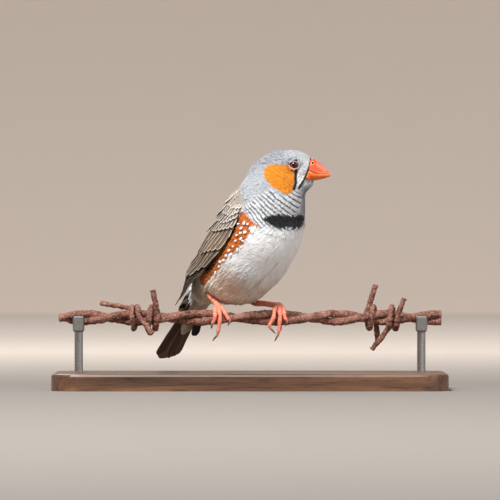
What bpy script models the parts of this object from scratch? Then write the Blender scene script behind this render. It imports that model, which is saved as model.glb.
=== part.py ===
# Zebra finch, a male at life size, perched on a short length of two-strand barbed wire
# that a plain stand holds up. Sizes below are millimetres. The wire runs along X at Y = 0,
# and the origin is the middle of the base's underside.
import math

import bmesh
import bpy
import numpy as np

MM = 0.001
GAP = 0.3                        # clearance between two pieces that touch

# Wire, barbs and stand
WIRE_Z = 25.5                    # height of the wire's axis
WIRE_ENDS = (-68.0, 68.0)
STRAND_RADIUS = 1.25
STRAND_STEPS = 42
STRAND_OFFSET = 1.4              # from the wire's axis to the axis of one strand
CABLE_RADIUS = STRAND_RADIUS + STRAND_OFFSET
HALF_TURNS = (-89.0, -66.7, -50.4, -29.5, -5.0, 20.9, 39.8, 56.8, 80.9)   # X of each half turn
BARB_RADIUS = 1.0
BARB_SHRINK = 0.96               # keeps the coil's straight pieces clear of the strands
BARB_STEP = 36.0                 # degrees of coil between two points
BARB_COIL = CABLE_RADIUS + GAP + BARB_RADIUS
BASE = (140.0, 76.0, 6.0)
BASE_CORNER = 10.0
BASE_RIM = 0.9
ROD_X = 61.0
ROD_RADIUS = 1.5
CRADLE = (4.0, 9.6, 5.6)         # block with a notch that the wire lies in
CRADLE_TOP = 0.6                 # its top over the wire's axis
CRADLE_EDGE = 0.5

# Trunk: its axis runs from the tail root up to the neck, and A is measured along it
YAW = math.radians(50)
PITCH = math.radians(47)
TRUNK_POINT = np.array((-0.1, -1.0, WIRE_Z + 24.4))
AXIS = np.array((math.cos(YAW) * math.cos(PITCH), -math.sin(YAW) * math.cos(PITCH), math.sin(PITCH)))
BACK = np.array((-math.cos(YAW) * math.sin(PITCH), math.sin(YAW) * math.sin(PITCH), math.cos(PITCH)))
RIGHT = np.array((-math.sin(YAW), -math.cos(YAW), 0.0))
TRUNK = (                        # A, radius, offset of the middle towards the back
    (-37.5, 1.6, 9.6), (-32.4, 3.6, 9.6), (-28.0, 5.9, 7.5), (-24.1, 8.3, 5.3), (-20.0, 10.7, 2.9),
    (-16.6, 12.4, 1.1), (-9.2, 14.0, 0.0), (-4.2, 14.85, -0.6), (4.0, 15.2, -0.8),
    (12.9, 14.85, -0.3), (19.5, 13.6, 1.2), (25.4, 11.5, 3.35), (29.5, 9.6, 4.2), (35.0, 6.0, 5.0),
)

# Head and neck: level sections, seen from the right, with the bill pointing along +X
HEAD_Y = -13.5
HEAD = (                         # height over the wire, back X, front X, half width, Y, egg shape
    (59.7, 9.5, 16.4, 1.8, HEAD_Y, 0.0),
    (58.9, 7.6, 19.1, 3.4, HEAD_Y, 0.1),
    (57.7, 5.3, 21.0, 5.0, HEAD_Y, 0.2),
    (56.2, 3.2, 22.3, 6.2, HEAD_Y, 0.25),
    (54.0, 0.6, 22.5, 7.2, HEAD_Y, 0.25),
    (51.8, -1.0, 21.8, 7.8, HEAD_Y, 0.32),
    (49.6, -1.7, 22.9, 8.1, HEAD_Y, 0.38),
    (47.8, -3.1, 23.3, 8.5, HEAD_Y, 0.34),
    (46.0, -3.9, 21.7, 9.0, HEAD_Y + 0.2, 0.2),
    (44.0, -5.1, 19.7, 9.7, HEAD_Y + 0.6, 0.05),
    (41.5, -6.9, 19.2, 10.6, HEAD_Y + 1.3, 0.0),
    (38.5, -8.4, 19.3, 11.3, HEAD_Y + 2.2, 0.0),
    (35.5, -8.2, 19.5, 10.9, HEAD_Y + 3.2, 0.0),
    (32.5, -7.0, 18.2, 10.0, HEAD_Y + 4.2, 0.0),
    (29.5, -4.0, 14.5, 7.5, HEAD_Y + 5.2, 0.0),
)
TRUNK_STEPS = 32
FLESH_VOXEL = 0.75
FLESH_SMOOTHING = 8
FLESH_TRIANGLES = 2600
SKIN_CLEARANCE = 0.42            # how far the coarser skin that trims the feathers stands off
SKIN_SHARE = 0.35
HEAD_CUT = (np.array((9.0, HEAD_Y, WIRE_Z + 46.6)), np.array((0.253, 0.0, 0.967)))
PLATE = 30.0                     # half the size of the plates that part the flesh
TORSO_CUT = 14.0                 # A of the cut between neck and torso

# Eyes
EYE_X, EYE_SIDE, EYE_Z = 15.7, 4.3, WIRE_Z + 54.3
EYE_RADIUS = 2.0
EYE_BULGE = 1.15                 # the eyeball is longer along its own axis
EYE_FORWARD = math.radians(10)
EYE_UP = math.radians(6)
LID_RING = (1.7, 1.45)           # half length and half height of the ring's middle line
LID_TUBE = 0.42
LID_RISE = 1.75
LID_STEPS = 20
LID_SIDES = 8

# Bill
BILL = (                         # X, culmen, mouth line, lower edge, half width (heights over the wire)
    (18.4, 55.6, 52.8, 48.6, 4.15),
    (21.0, 56.9, 52.3, 48.5, 4.15),
    (22.6, 56.45, 51.6, 48.6, 3.7),
    (24.2, 55.3, 51.2, 48.9, 3.0),
    (25.8, 54.0, 51.25, 49.25, 2.2),
    (27.2, 52.75, 51.15, 49.7, 1.4),
    (28.3, 51.6, 50.9, 50.1, 0.7),
)
BILL_TIP = (29.0, 50.6)
BILL_FULLNESS = 0.85             # under 1 for a rounder section
LOWER_WIDTH = 0.94
LOWER_TIP_BACK = (0.35, 0.3)     # how far the lower half's tip stands back from it and under it
NOSTRIL = (22.3, 2.7, WIRE_Z + 54.9)
NOSTRIL_RADIUS = 0.38

# Wings: the sheet that the folded wing lies in, as arcs round the trunk's axis
WING_SHEET = (                   # A, offset of the arc's middle towards the back, radius
    (-41.5, 6.4, 7.6), (-30.0, 3.7, 10.5), (-26.6, 2.8, 11.7), (-21.6, 1.8, 13.6),
    (-12.0, 0.1, 14.6), (-4.0, -0.5, 15.4), (5.0, -0.7, 15.4), (12.0, -0.2, 15.0), (19.0, 1.1, 13.9),
)
PAD_OUTLINE = (                  # the wing's body: A, upper and lower edge in degrees from the middle of the back
    (-12.0, 36.0, 84.0), (-9.0, 34.0, 90.0), (-3.0, 34.0, 93.0), (4.0, 34.0, 94.0),
    (10.0, 36.0, 94.0), (14.0, 42.0, 92.0), (16.5, 50.0, 88.0), (17.5, 58.0, 82.0),
)
PAD_DEPTH = 1.5                  # how deep the wing's body lies under the surface of the trunk
PAD_TOP = -0.15
PAD_STEPS = 9
PAD_COUNT = 7                    # points across
SEAT_TOP = 3.0
SEAT_TRIM = 0.1
PAD_FRONT = 4.0                  # length of its front end
PAD_FRONT_DROP = 0.5             # how far its front end sinks under the surface
WING_OUTLINE = (                 # A, upper and lower edge in degrees from the middle of the back
    (-38.5, 42.0, 50.0), (-35.0, 37.0, 60.0), (-31.6, 34.0, 69.0), (-26.0, 32.0, 77.0), (-18.0, 32.0, 83.0),
    (-11.0, 34.0, 88.0), (-4.0, 34.0, 92.0), (6.0, 34.0, 96.0), (12.0, 36.0, 96.0), (18.5, 40.0, 90.0),
)

# Feathers: share of the full width and thickness along each vane
VANE_STATIONS = (0.0, 0.25, 0.5, 0.82, 1.0)
VANE_WIDTHS = (0.55, 0.9, 1.0, 0.88, 0.3)
VANE_DEPTHS = (1.0, 1.0, 1.0, 0.95, 0.65)
SHAFT_RISE = 0.12
VANE_THICKNESS = 0.5
TIP_SHARES = (0.0, 0.25, 0.5, 1.0)   # from the wing's lower edge to its upper edge, for the tips below
TIERS = (                        # of one wing: A of the roots and tips, half width, lift at root and tip, raised edge
    dict(name="primary", count=6, root=(1.0, -4.0), tips=(-38.2, -36.6, -33.0, -26.0), half=2.1, lift=(-0.9, 0.0),
         tilt=0.4, steps=6, ribs=3, reach=0.5),
    dict(name="secondary", count=6, root=(5.0, 3.0), tips=(-6.5, -15.5, -23.5, -17.5), half=2.9, lift=(-0.5, 0.45),
         tilt=0.4, steps=5, ribs=3, reach=1.0),
    dict(name="greater_covert", count=6, root=(12.0, 8.0), tips=(3.5, -5.0, -9.5, -12.0), half=3.0,
         lift=(-0.4, 0.85), tilt=0.35, steps=4, ribs=2, reach=1.0),
    dict(name="median_covert", count=5, root=(15.8, 13.0), tips=(12.0, 6.0, 2.0, -3.0), half=3.4, lift=(-0.6, 1.0),
         tilt=0.3, steps=3, ribs=2, reach=1.0),
)
LIFT_POWER = 0.7
LIFT_CHANGE = 0.05               # small change of level from one feather to the next

# Tail
TAIL_ROOT = (-31.0, 9.9)         # A and offset towards the back
TAIL_TIP = (-62.4, 9.2)
TAIL_SHIFT = -0.7                # to the right
TAIL_ROOT_HALF = 1.6
TAIL_HALF = 5.9                  # half width at the tip
TAIL_FEATHERS = 12
TAIL_VANE_HALF = 1.7
TAIL_SHORTER = 2.4               # how much shorter the outermost feather is
TAIL_DROP = 0.9                  # how much lower it lies than the middle pair
TAIL_TILT = 0.28
SIDE_STEP = 0.13                 # sets the feathers of one side a little over those of the other
TAIL_COVERTS = (                 # root and tip (A, back), half spread at both, shift, half width, level, drop, tilt
    dict(name="upper_covert", root=(-29.0, 10.9), tip=(-43.0, 9.9), spread=(2.4, 2.6), shift=0.1, shorter=3.0,
         half=1.9, level=0.28, drop=0.35, tilt=0.2),
    dict(name="under_covert", root=(-28.0, 6.7), tip=(-47.8, 7.3), spread=(2.4, 1.8), shift=-0.4, shorter=3.5,
         half=2.2, level=-0.4, drop=-0.35, tilt=-0.2),
)
TAIL_COVERT_COUNT = 5

# Legs and feet
LEG = {                          # over the wire: ankle, where the foot stands, and the leg's bend and sunk end
    "right": dict(ankle=(-19.2, 7.6, 14.2), foot_x=-11.5, bend=(-14.4, 2.7, 8.0), sunk=(-13.2, 5.6, 9.8)),
    "left": dict(ankle=(1.0, 12.2, 5.6), foot_x=10.3, bend=(1.0, 12.2, 5.6), sunk=(0.3, 11.0, 9.8)),
}
LEG_STATIONS = (0.0, 0.25, 0.7, 1.0)
LEG_RADII = (1.15, 1.2, 1.05, 1.0, 1.1)
FOOT_BALL_RADIUS = 1.25
FOOT_Y = -0.3
FOOT_BALL_Z = CABLE_RADIUS + GAP + FOOT_BALL_RADIUS + 0.05
TOE_RADIUS = 0.8
TOE_TAPER = (1.1, 1.0, 0.98, 0.95, 0.8, 0.42, 0.14)
TOE_ANGLES = (28, 62, 92)        # round the wire from its top
CLAW_ARCH = (0.45, -0.1)
TOE_REACH = CABLE_RADIUS + GAP + TOE_RADIUS + 0.06
TOES = {                         # shift along the wire at the knuckle, front, end and claw tip, end and tip (Y, Z)
    "right": (
        dict(x=(-0.9, -1.0, -2.0, -2.3), end=(-3.2, -2.4), tip=(-1.2, -3.9)),
        dict(x=(0.3, 0.9, 0.0, -1.9), end=(-3.4, -5.6), tip=(-2.3, -8.4)),
        dict(x=(1.5, 3.6, 4.4, 3.6), end=(-3.8, -0.9), tip=(-3.0, -2.9)),
    ),
    "left": (
        dict(x=(-1.3, -2.0, -3.4, -1.2), end=(-3.9, -2.9), tip=(-3.0, -5.8)),
        dict(x=(0.2, 0.4, -0.2, -1.6), end=(-3.6, -5.5), tip=(-2.6, -8.5)),
        dict(x=(1.4, 2.2, 2.9, 2.4), end=(-3.9, -1.2), tip=(-3.2, -3.0)),
    ),
}
HALLUX = dict(x=(0.0, 0.3, 0.6, 0.8), end=(3.3, -2.2), tip=(1.9, -4.6))

COLOURS = {                      # name: base colour, metallic, roughness
    "grey_feathers": ((0.42, 0.45, 0.48), 0.0, 0.8),
    "white_feathers": ((0.75, 0.72, 0.68), 0.0, 0.8),
    "brown_feathers": ((0.24, 0.17, 0.12), 0.0, 0.75),
    "tail_feathers": ((0.06, 0.05, 0.04), 0.0, 0.7),
    "orange_bill": ((0.85, 0.14, 0.04), 0.0, 0.35),
    "eye": ((0.10, 0.02, 0.015), 0.0, 0.08),
    "leg_skin": ((0.85, 0.30, 0.18), 0.0, 0.5),
    "rusty_wire": ((0.22, 0.10, 0.07), 0.4, 0.85),
    "stand_wood": ((0.20, 0.12, 0.07), 0.0, 0.5),
    "stand_metal": ((0.5, 0.5, 0.5), 1.0, 0.35),
}


def clear_scene():
    for thing in list(bpy.data.objects):
        bpy.data.objects.remove(thing, do_unlink=True)
    for group in list(bpy.data.collections):
        bpy.data.collections.remove(group)


def material(name):
    colour, metallic, roughness = COLOURS[name]
    made = bpy.data.materials.get(name) or bpy.data.materials.new(name)
    made.use_nodes = True
    shader = made.node_tree.nodes["Principled BSDF"]
    shader.inputs["Base Color"].default_value = (*colour, 1.0)
    shader.inputs["Metallic"].default_value = metallic
    shader.inputs["Roughness"].default_value = roughness
    return made


def unit(vector):
    return np.asarray(vector) / np.linalg.norm(vector)


def trunk_at(along, back, right=0.0):
    """A point of the trunk's own frame, in the frame of the part."""
    return TRUNK_POINT + along * AXIS + back * BACK + right * RIGHT


def smooth_value(stations, column, where):
    """A column of the stations read at one place, on a cubic through them."""
    xs = np.array([s[0] for s in stations])
    ys = np.array([s[column] for s in stations])
    if xs[0] > xs[-1]:
        xs, ys = xs[::-1], ys[::-1]
    slopes = np.gradient(ys, xs)
    i = int(np.clip(np.searchsorted(xs, where) - 1, 0, len(xs) - 2))
    step = xs[i + 1] - xs[i]
    t = np.clip((where - xs[i]) / step, 0.0, 1.0)
    return ((2 * t**3 - 3 * t**2 + 1) * ys[i] + (t**3 - 2 * t**2 + t) * step * slopes[i]
            + (3 * t**2 - 2 * t**3) * ys[i + 1] + (t**3 - t**2) * step * slopes[i + 1])


def mesh_object(name, points, faces, collection):
    """An object from points in millimetres, with its faces turned outwards."""
    mesh = bpy.data.meshes.new(name)
    mesh.from_pydata([tuple(p) for p in np.asarray(points) * MM], [], faces)
    bm = bmesh.new()
    bm.from_mesh(mesh)
    bmesh.ops.recalc_face_normals(bm, faces=bm.faces)
    bm.to_mesh(mesh)
    bm.free()
    made = bpy.data.objects.new(name, mesh)
    collection.objects.link(made)
    return made


def loft(name, rings, collection):
    """A closed skin through rings of equal count, with a point at each end."""
    count = len(rings[0])
    points = [p for ring in rings for p in ring] + [np.mean(rings[0], axis=0), np.mean(rings[-1], axis=0)]
    first, last = len(points) - 2, len(points) - 1
    faces = []
    for i in range(count):
        j = (i + 1) % count
        faces.append((first, i, j))
        for r in range(len(rings) - 1):
            faces.append((r * count + i, (r + 1) * count + i, (r + 1) * count + j, r * count + j))
        top = (len(rings) - 1) * count
        faces.append((last, top + j, top + i))
    return mesh_object(name, points, faces, collection)


def tube(name, path, radii, collection, sides=8):
    """A tube along a path: a bevelled curve, made a mesh with its caps welded."""
    curve = bpy.data.curves.new(name, "CURVE")
    curve.dimensions = "3D"
    curve.bevel_depth = MM
    curve.bevel_resolution = (sides - 4) // 2
    curve.use_fill_caps = True
    spline = curve.splines.new("POLY")
    spline.points.add(len(path) - 1)
    for point, place, radius in zip(spline.points, path, radii):
        point.co = (*(np.asarray(place) * MM), 1.0)
        point.radius = radius
    guide = bpy.data.objects.new(name + "_guide", curve)
    collection.objects.link(guide)
    bpy.context.view_layer.update()
    mesh = bpy.data.meshes.new_from_object(guide.evaluated_get(bpy.context.evaluated_depsgraph_get()))
    bm = bmesh.new()
    bm.from_mesh(mesh)
    bmesh.ops.remove_doubles(bm, verts=bm.verts, dist=0.00001)
    bmesh.ops.recalc_face_normals(bm, faces=bm.faces)
    bm.to_mesh(mesh)
    bm.free()
    made = bpy.data.objects.new(name, mesh)
    made.matrix_world = guide.matrix_world
    collection.objects.link(made)
    bpy.data.objects.remove(guide, do_unlink=True)
    return made


def sphere(name, place, radius, collection, stretch=(1.0, 1.0, 1.0), turn=(0.0, 0.0), segments=12, rings=8):
    """A ball stretched along its own axes, whose Y axis turns by (about Z, about X)."""
    mesh = bpy.data.meshes.new(name)
    bm = bmesh.new()
    bmesh.ops.create_uvsphere(bm, u_segments=segments, v_segments=rings, radius=radius * MM)
    bm.to_mesh(mesh)
    bm.free()
    points = np.array([v.co for v in mesh.vertices]) * np.array(stretch)
    points = points @ turned(*turn).T + np.asarray(place) * MM
    mesh.vertices.foreach_set("co", points.ravel())
    made = bpy.data.objects.new(name, mesh)
    collection.objects.link(made)
    return made


def turned(about_z, about_x):
    cz, sz = math.cos(about_z), math.sin(about_z)
    cx, sx = math.cos(about_x), math.sin(about_x)
    return np.array(((cz, -sz, 0), (sz, cz, 0), (0, 0, 1))) @ np.array(((1, 0, 0), (0, cx, -sx), (0, sx, cx)))


def apply_modifier(thing, modifier_type, **settings):
    """Adds a modifier, applies it and leaves the object with the mesh it makes."""
    modifier = thing.modifiers.new(modifier_type.title(), modifier_type)
    for key, value in settings.items():
        setattr(modifier, key, value)
    bpy.context.view_layer.update()
    mesh = bpy.data.meshes.new_from_object(thing.evaluated_get(bpy.context.evaluated_depsgraph_get()))
    thing.modifiers.clear()
    old = thing.data
    thing.data = mesh
    bpy.data.meshes.remove(old)


def keep_largest(thing):
    """Leaves only the largest closed surface of a mesh."""
    bm = bmesh.new()
    bm.from_mesh(thing.data)
    left = set(bm.faces)
    shells = []
    while left:
        grown = {left.pop()}
        edge = list(grown)
        while edge:
            face = edge.pop()
            for other in (f for e in face.edges for f in e.link_faces):
                if other in left:
                    left.discard(other)
                    grown.add(other)
                    edge.append(other)
        shells.append(grown)
    largest = max(shells, key=lambda shell: sum(f.calc_area() for f in shell))
    bmesh.ops.delete(bm, geom=[f for f in bm.faces if f not in largest], context="FACES")
    bmesh.ops.delete(bm, geom=[v for v in bm.verts if not v.link_faces], context="VERTS")
    bmesh.ops.triangulate(bm, faces=bm.faces)
    bm.to_mesh(thing.data)
    bm.free()


def fuse(thing, pieces, solver="EXACT"):
    """Joins pieces to an object with one Boolean union on their collection, and removes them."""
    group = bpy.data.collections.new(thing.name + "_pieces")
    bpy.context.scene.collection.children.link(group)
    for piece in pieces:
        for home in list(piece.users_collection):
            home.objects.unlink(piece)
        group.objects.link(piece)
    apply_modifier(thing, "BOOLEAN", operation="UNION", operand_type="COLLECTION",
                   collection=group, solver=solver)
    for piece in pieces:
        bpy.data.objects.remove(piece, do_unlink=True)
    bpy.data.collections.remove(group)
    keep_largest(thing)


def cut(thing, cutter, solver="EXACT"):
    apply_modifier(thing, "BOOLEAN", operation="DIFFERENCE", object=cutter, solver=solver)
    keep_largest(thing)


def copy_of(thing, name, collection):
    made = bpy.data.objects.new(name, thing.data.copy())
    collection.objects.link(made)
    return made


def grown_copy(thing, name, by, collection):
    """A copy whose skin stands out by a distance in millimetres."""
    made = copy_of(thing, name, collection)
    apply_modifier(made, "DISPLACE", strength=by * MM, mid_level=0.0, direction="NORMAL")
    return made


# Flesh

def trunk_ring(along, count=28):
    radius = smooth_value(TRUNK, 1, along)
    offset = smooth_value(TRUNK, 2, along)
    return [trunk_at(along, offset + radius * math.cos(t), radius * math.sin(t))
            for t in np.linspace(0, 2 * math.pi, count, endpoint=False)]


def head_ring(height, back, front, half, y, egg, count=28):
    middle, reach = (back + front) / 2, (front - back) / 2
    return [np.array((middle + reach * math.cos(t), y + half * math.sin(t) * (1 - egg * math.cos(t)),
                      WIRE_Z + height))
            for t in np.linspace(0, 2 * math.pi, count, endpoint=False)]


def make_flesh(collection):
    """Head, neck and trunk as one smooth form."""
    trunk = loft("flesh", [trunk_ring(a) for a in np.linspace(TRUNK[0][0], TRUNK[-1][0], TRUNK_STEPS)], collection)
    head = loft("head_form", [head_ring(*row) for row in HEAD], collection)
    fuse(trunk, [head])
    apply_modifier(trunk, "REMESH", mode="VOXEL", voxel_size=FLESH_VOXEL * MM)
    apply_modifier(trunk, "SMOOTH", factor=0.5, iterations=FLESH_SMOOTHING)
    apply_modifier(trunk, "TRIANGULATE")
    apply_modifier(trunk, "DECIMATE", ratio=FLESH_TRIANGLES / len(trunk.data.polygons),
                   use_collapse_triangulate=True)
    return trunk


def slab(name, point, normal, collection):
    """A thin wide plate that parts the flesh."""
    normal = unit(normal)
    side = unit(np.cross(normal, (0.0, 1.0, 0.0)))
    other = np.cross(normal, side)
    corners = [point + side * a + other * b + normal * c
               for a in (-PLATE, PLATE) for b in (-PLATE, PLATE) for c in (-GAP / 2, GAP / 2)]
    faces = ((0, 1, 3, 2), (4, 5, 7, 6), (0, 1, 5, 4), (2, 3, 7, 6), (0, 2, 6, 4), (1, 3, 7, 5))
    return mesh_object(name, corners, faces, collection)


def part_flesh(flesh, collection, cutters):
    """Cuts the flesh into head, neck and torso with two thin slabs."""
    plates = (slab("head_plate", *HEAD_CUT, cutters),
              slab("torso_plate", trunk_at(TORSO_CUT, 0), AXIS, cutters))
    for plate in plates:
        apply_modifier(flesh, "BOOLEAN", operation="DIFFERENCE", object=plate, solver="EXACT")
        bpy.data.objects.remove(plate, do_unlink=True)
    bm = bmesh.new()
    bm.from_mesh(flesh.data)
    bmesh.ops.triangulate(bm, faces=bm.faces)
    whole = bpy.data.meshes.new("whole")
    bm.to_mesh(whole)
    bm.free()
    nodes = {}
    for name in ("torso", "neck", "head"):
        node = bpy.data.objects.new(name, whole.copy())
        collection.objects.link(node)
        keep_side(node, name)
        nodes[name] = node
    bpy.data.meshes.remove(whole)
    bpy.data.objects.remove(flesh, do_unlink=True)
    return nodes


def keep_side(node, name):
    """Keeps the faces of one of the three pieces of flesh."""
    bm = bmesh.new()
    bm.from_mesh(node.data)

    def piece_of(face):
        place = np.array(face.calc_center_median()) / MM
        if np.dot(place - HEAD_CUT[0], unit(HEAD_CUT[1])) > 0:
            return "head"
        return "neck" if np.dot(place - TRUNK_POINT, AXIS) > TORSO_CUT else "torso"

    bmesh.ops.delete(bm, geom=[f for f in bm.faces if piece_of(f) != name], context="FACES")
    bmesh.ops.delete(bm, geom=[v for v in bm.verts if not v.link_faces], context="VERTS")
    bm.to_mesh(node.data)
    bm.free()
    keep_largest(node)


# Eyes, lids and bill

def eye_turn(side):
    return -side * EYE_FORWARD, side * EYE_UP


def eye_place(side):
    return np.array((EYE_X, HEAD_Y + side * EYE_SIDE, EYE_Z))


def make_eye(name, side, collection, grow=0.0):
    return sphere(name, eye_place(side), EYE_RADIUS + grow, collection,
                  stretch=(1.0, EYE_BULGE, 1.0), turn=eye_turn(side))


def make_lid(name, side, collection):
    """The ring of bare skin round one eye."""
    turn = turned(*eye_turn(side))
    rings = []
    for t in np.linspace(0, 2 * math.pi, LID_STEPS, endpoint=False):
        out = np.array((math.cos(t) * LID_RING[0], side * LID_RISE, math.sin(t) * LID_RING[1]))
        away = unit((math.cos(t), 0.0, math.sin(t)))
        ring = []
        for u in np.linspace(0, 2 * math.pi, LID_SIDES, endpoint=False):
            round_tube = math.cos(u) * away + math.sin(u) * np.array((0, 1, 0))
            ring.append(eye_place(side) + turn @ (out + LID_TUBE * round_tube))
        rings.append(ring)
    points = [p for ring in rings for p in ring]
    faces = []
    for r in range(LID_STEPS):
        here, following = r * LID_SIDES, (r + 1) % LID_STEPS * LID_SIDES
        for i in range(LID_SIDES):
            j = (i + 1) % LID_SIDES
            faces.append((here + i, following + i, following + j, here + j))
    return mesh_object(name, points, faces, collection)


def bill_ring(x, high, low, half, grow, count=10):
    """Half an ellipse over a flat: the upper half of the bill where high is over low."""
    rise = high - low + math.copysign(grow, high - low)
    ring = []
    for t in np.linspace(-math.pi / 2, math.pi / 2, count):
        ring.append((x, HEAD_Y + (half + grow) * math.sin(t), WIRE_Z + low + rise * math.cos(t) ** BILL_FULLNESS))
    return [np.array(p) for p in ring]


def make_mandible(name, upper, collection, grow=0.0):
    rings = []
    for x, culmen, mouth, under, half in BILL:
        if upper:
            rings.append(bill_ring(x, culmen, mouth - grow, half, grow))
        else:
            rings.append(bill_ring(x, under, mouth - GAP + grow, LOWER_WIDTH * half, grow))
    tip_x, tip_z = BILL_TIP
    back, under = (0.0, 0.0) if upper else LOWER_TIP_BACK
    tip, reach = WIRE_Z + tip_z - under, tip_x - back + (grow if upper else 0.0)
    count = len(rings[0])
    points = [p for ring in rings for p in ring] + [(reach, HEAD_Y, tip), np.mean(rings[0], axis=0)]
    point, root = len(points) - 2, len(points) - 1
    faces = []
    for i in range(count):
        j = (i + 1) % count
        faces.append((root, j, i))
        for r in range(len(rings) - 1):
            faces.append((r * count + i, r * count + j, (r + 1) * count + j, (r + 1) * count + i))
        last = (len(rings) - 1) * count
        faces.append((point, last + i, last + j))
    return mesh_object(name, points, faces, collection)


def make_head_details(nodes, collection, cutters):
    """Lids fused to the head, sockets, the seat of the bill, and the eyes and bill themselves."""
    head = nodes["head"]
    fuse(head, [make_lid("lid_" + s, k, collection) for s, k in (("right", -1), ("left", 1))])
    for name, side in (("eye_right", -1), ("eye_left", 1)):
        socket = make_eye(name + "_socket", side, cutters, GAP)
        cut(head, socket)
        bpy.data.objects.remove(socket, do_unlink=True)
        nodes[name] = make_eye(name, side, collection)
    for name, upper in (("bill_upper", True), ("bill_lower", False)):
        seat = make_mandible(name + "_seat", upper, cutters, GAP)
        cut(head, seat)
        bpy.data.objects.remove(seat, do_unlink=True)
        nodes[name] = make_mandible(name, upper, collection)
    for side in (-1, 1):
        x, y, z = NOSTRIL
        pit = sphere("nostril", (x, HEAD_Y + side * y, z), NOSTRIL_RADIUS, cutters,
                     stretch=(1.2, 1.6, 1.0), segments=8, rings=6)
        cut(nodes["bill_upper"], pit)
        bpy.data.objects.remove(pit, do_unlink=True)


# Feathers

def vane(name, path, across, out, half, thick, tilt, collection, ribs=3):
    """One feather: a slab two or three points wide along its path, triangulated alike on both faces."""
    steps = len(path)
    where = np.linspace(0, 1, steps)
    widths = half * np.interp(where, VANE_STATIONS, VANE_WIDTHS)
    depths = thick * np.interp(where, VANE_STATIONS, VANE_DEPTHS)
    tops, bottoms = [], []
    for i in range(steps):
        for k in np.linspace(-1, 1, ribs):
            raised = tilt * k * widths[i] / half + (SHAFT_RISE if k == 0 else 0.0)
            tops.append(path[i] + across[i] * widths[i] * k + out[i] * raised)
            bottoms.append(tops[-1] - out[i] * depths[i])
    n = len(tops)
    faces = []

    def strip(a, b, c, d):
        faces.extend(((a, b, c), (a, c, d)))

    for i in range(steps - 1):
        row, following = i * ribs, (i + 1) * ribs
        for k in range(ribs - 1):
            strip(row + k, row + k + 1, following + k + 1, following + k)
            faces.extend(((n + row + k, n + following + k + 1, n + row + k + 1),
                          (n + row + k, n + following + k, n + following + k + 1)))
        strip(row, following, n + following, n + row)
        strip(following + ribs - 1, row + ribs - 1, n + row + ribs - 1, n + following + ribs - 1)
    for k in range(ribs - 1):
        strip(k + 1, k, n + k, n + k + 1)
        strip(n - ribs + k, n - ribs + k + 1, 2 * n - ribs + k + 1, 2 * n - ribs + k)
    return mesh_object(name, tops + bottoms, faces, collection)


def sheet_point(along, angle, lift, side):
    """A point over the folded wing's sheet, at an angle in degrees from the middle of the back."""
    offset = smooth_value(WING_SHEET, 1, along)
    radius = smooth_value(WING_SHEET, 2, along) + lift
    t = math.radians(angle)
    return trunk_at(along, offset + radius * math.cos(t), side * radius * math.sin(t))


def wing_angle(along, share, half):
    """The angle of a feather's middle line between the wing's lower edge and its upper edge."""
    upper, lower = (smooth_value(WING_OUTLINE, column, along) for column in (1, 2))
    margin = math.degrees(half / smooth_value(WING_SHEET, 2, along))
    if lower - upper < 2 * margin:
        return (lower + upper) / 2
    return lower - margin - share * (lower - upper - 2 * margin)


def wing_vane(name, tier, i, side, collection):
    """A feather of the folded wing, its lower edge raised over the feather below it."""
    share = i / (tier["count"] - 1)
    root = tier["root"][0] + (tier["root"][1] - tier["root"][0]) * share
    tip = np.interp(share, TIP_SHARES, tier["tips"])
    path, across, out = [], [], []
    for s in np.linspace(0, 1, tier["steps"]):
        along = root + (tip - root) * s
        angle = wing_angle(along, share * tier["reach"], tier["half"])
        lift = tier["lift"][0] + (tier["lift"][1] - tier["lift"][0]) * s**LIFT_POWER + LIFT_CHANGE * math.sin(3 * i)
        here, low, up = (sheet_point(along, angle + a, lift + b, side) for a, b in ((0, 0), (4, 0), (0, 1)))
        path.append(here)
        across.append(unit(low - here))
        out.append(unit(up - here))
    return vane(name, path, across, out, tier["half"], VANE_THICKNESS, tier["tilt"], collection, tier["ribs"])


def make_pad(name, side, collection, grow=0.0, top=PAD_TOP):
    """The body of the wing under its feathers, which lies in a shallow seat in the trunk."""
    rings = []
    first, last = PAD_OUTLINE[0][0], PAD_OUTLINE[-1][0]
    for along in np.linspace(first - grow, last + grow, PAD_STEPS):
        inside = np.clip(along, first, last)
        wider = math.degrees(grow / smooth_value(TRUNK, 1, inside))
        edges = (smooth_value(PAD_OUTLINE, 1, inside) - wider, smooth_value(PAD_OUTLINE, 2, inside) + wider)
        offset = smooth_value(TRUNK, 2, along)
        inner = smooth_value(TRUNK, 1, along) - PAD_DEPTH - grow
        lift = top - (PAD_FRONT_DROP * np.clip((along - last) / PAD_FRONT + 1, 0, 1) if grow == 0 else 0)
        over = [sheet_point(along, a, lift, side) for a in np.linspace(*edges, PAD_COUNT)]
        under = [trunk_at(along, offset + inner * math.cos(t), side * inner * math.sin(t))
                 for t in np.radians(np.linspace(*edges[::-1], PAD_COUNT))]
        rings.append(over + under)
    return loft(name, rings, collection)


def make_wing(name, side, flesh_skin, collection, cutters):
    """The wing's body with its feathers in tiers, trimmed clear of the flesh."""
    wing = make_pad(name, side, collection)
    vanes = [wing_vane(f"{name}_{tier['name']}_{i}", tier, i, side, collection)
             for tier in TIERS for i in range(tier["count"])]
    fuse(wing, vanes, "MANIFOLD")
    trimmer = copy_of(flesh_skin, name + "_trimmer", cutters)
    seat = make_pad(name + "_seat", side, cutters, SEAT_TRIM, SEAT_TOP)
    cut(trimmer, seat, "MANIFOLD")
    cut(wing, trimmer, "MANIFOLD")
    for helper in (trimmer, seat):
        bpy.data.objects.remove(helper, do_unlink=True)
    return wing


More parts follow.
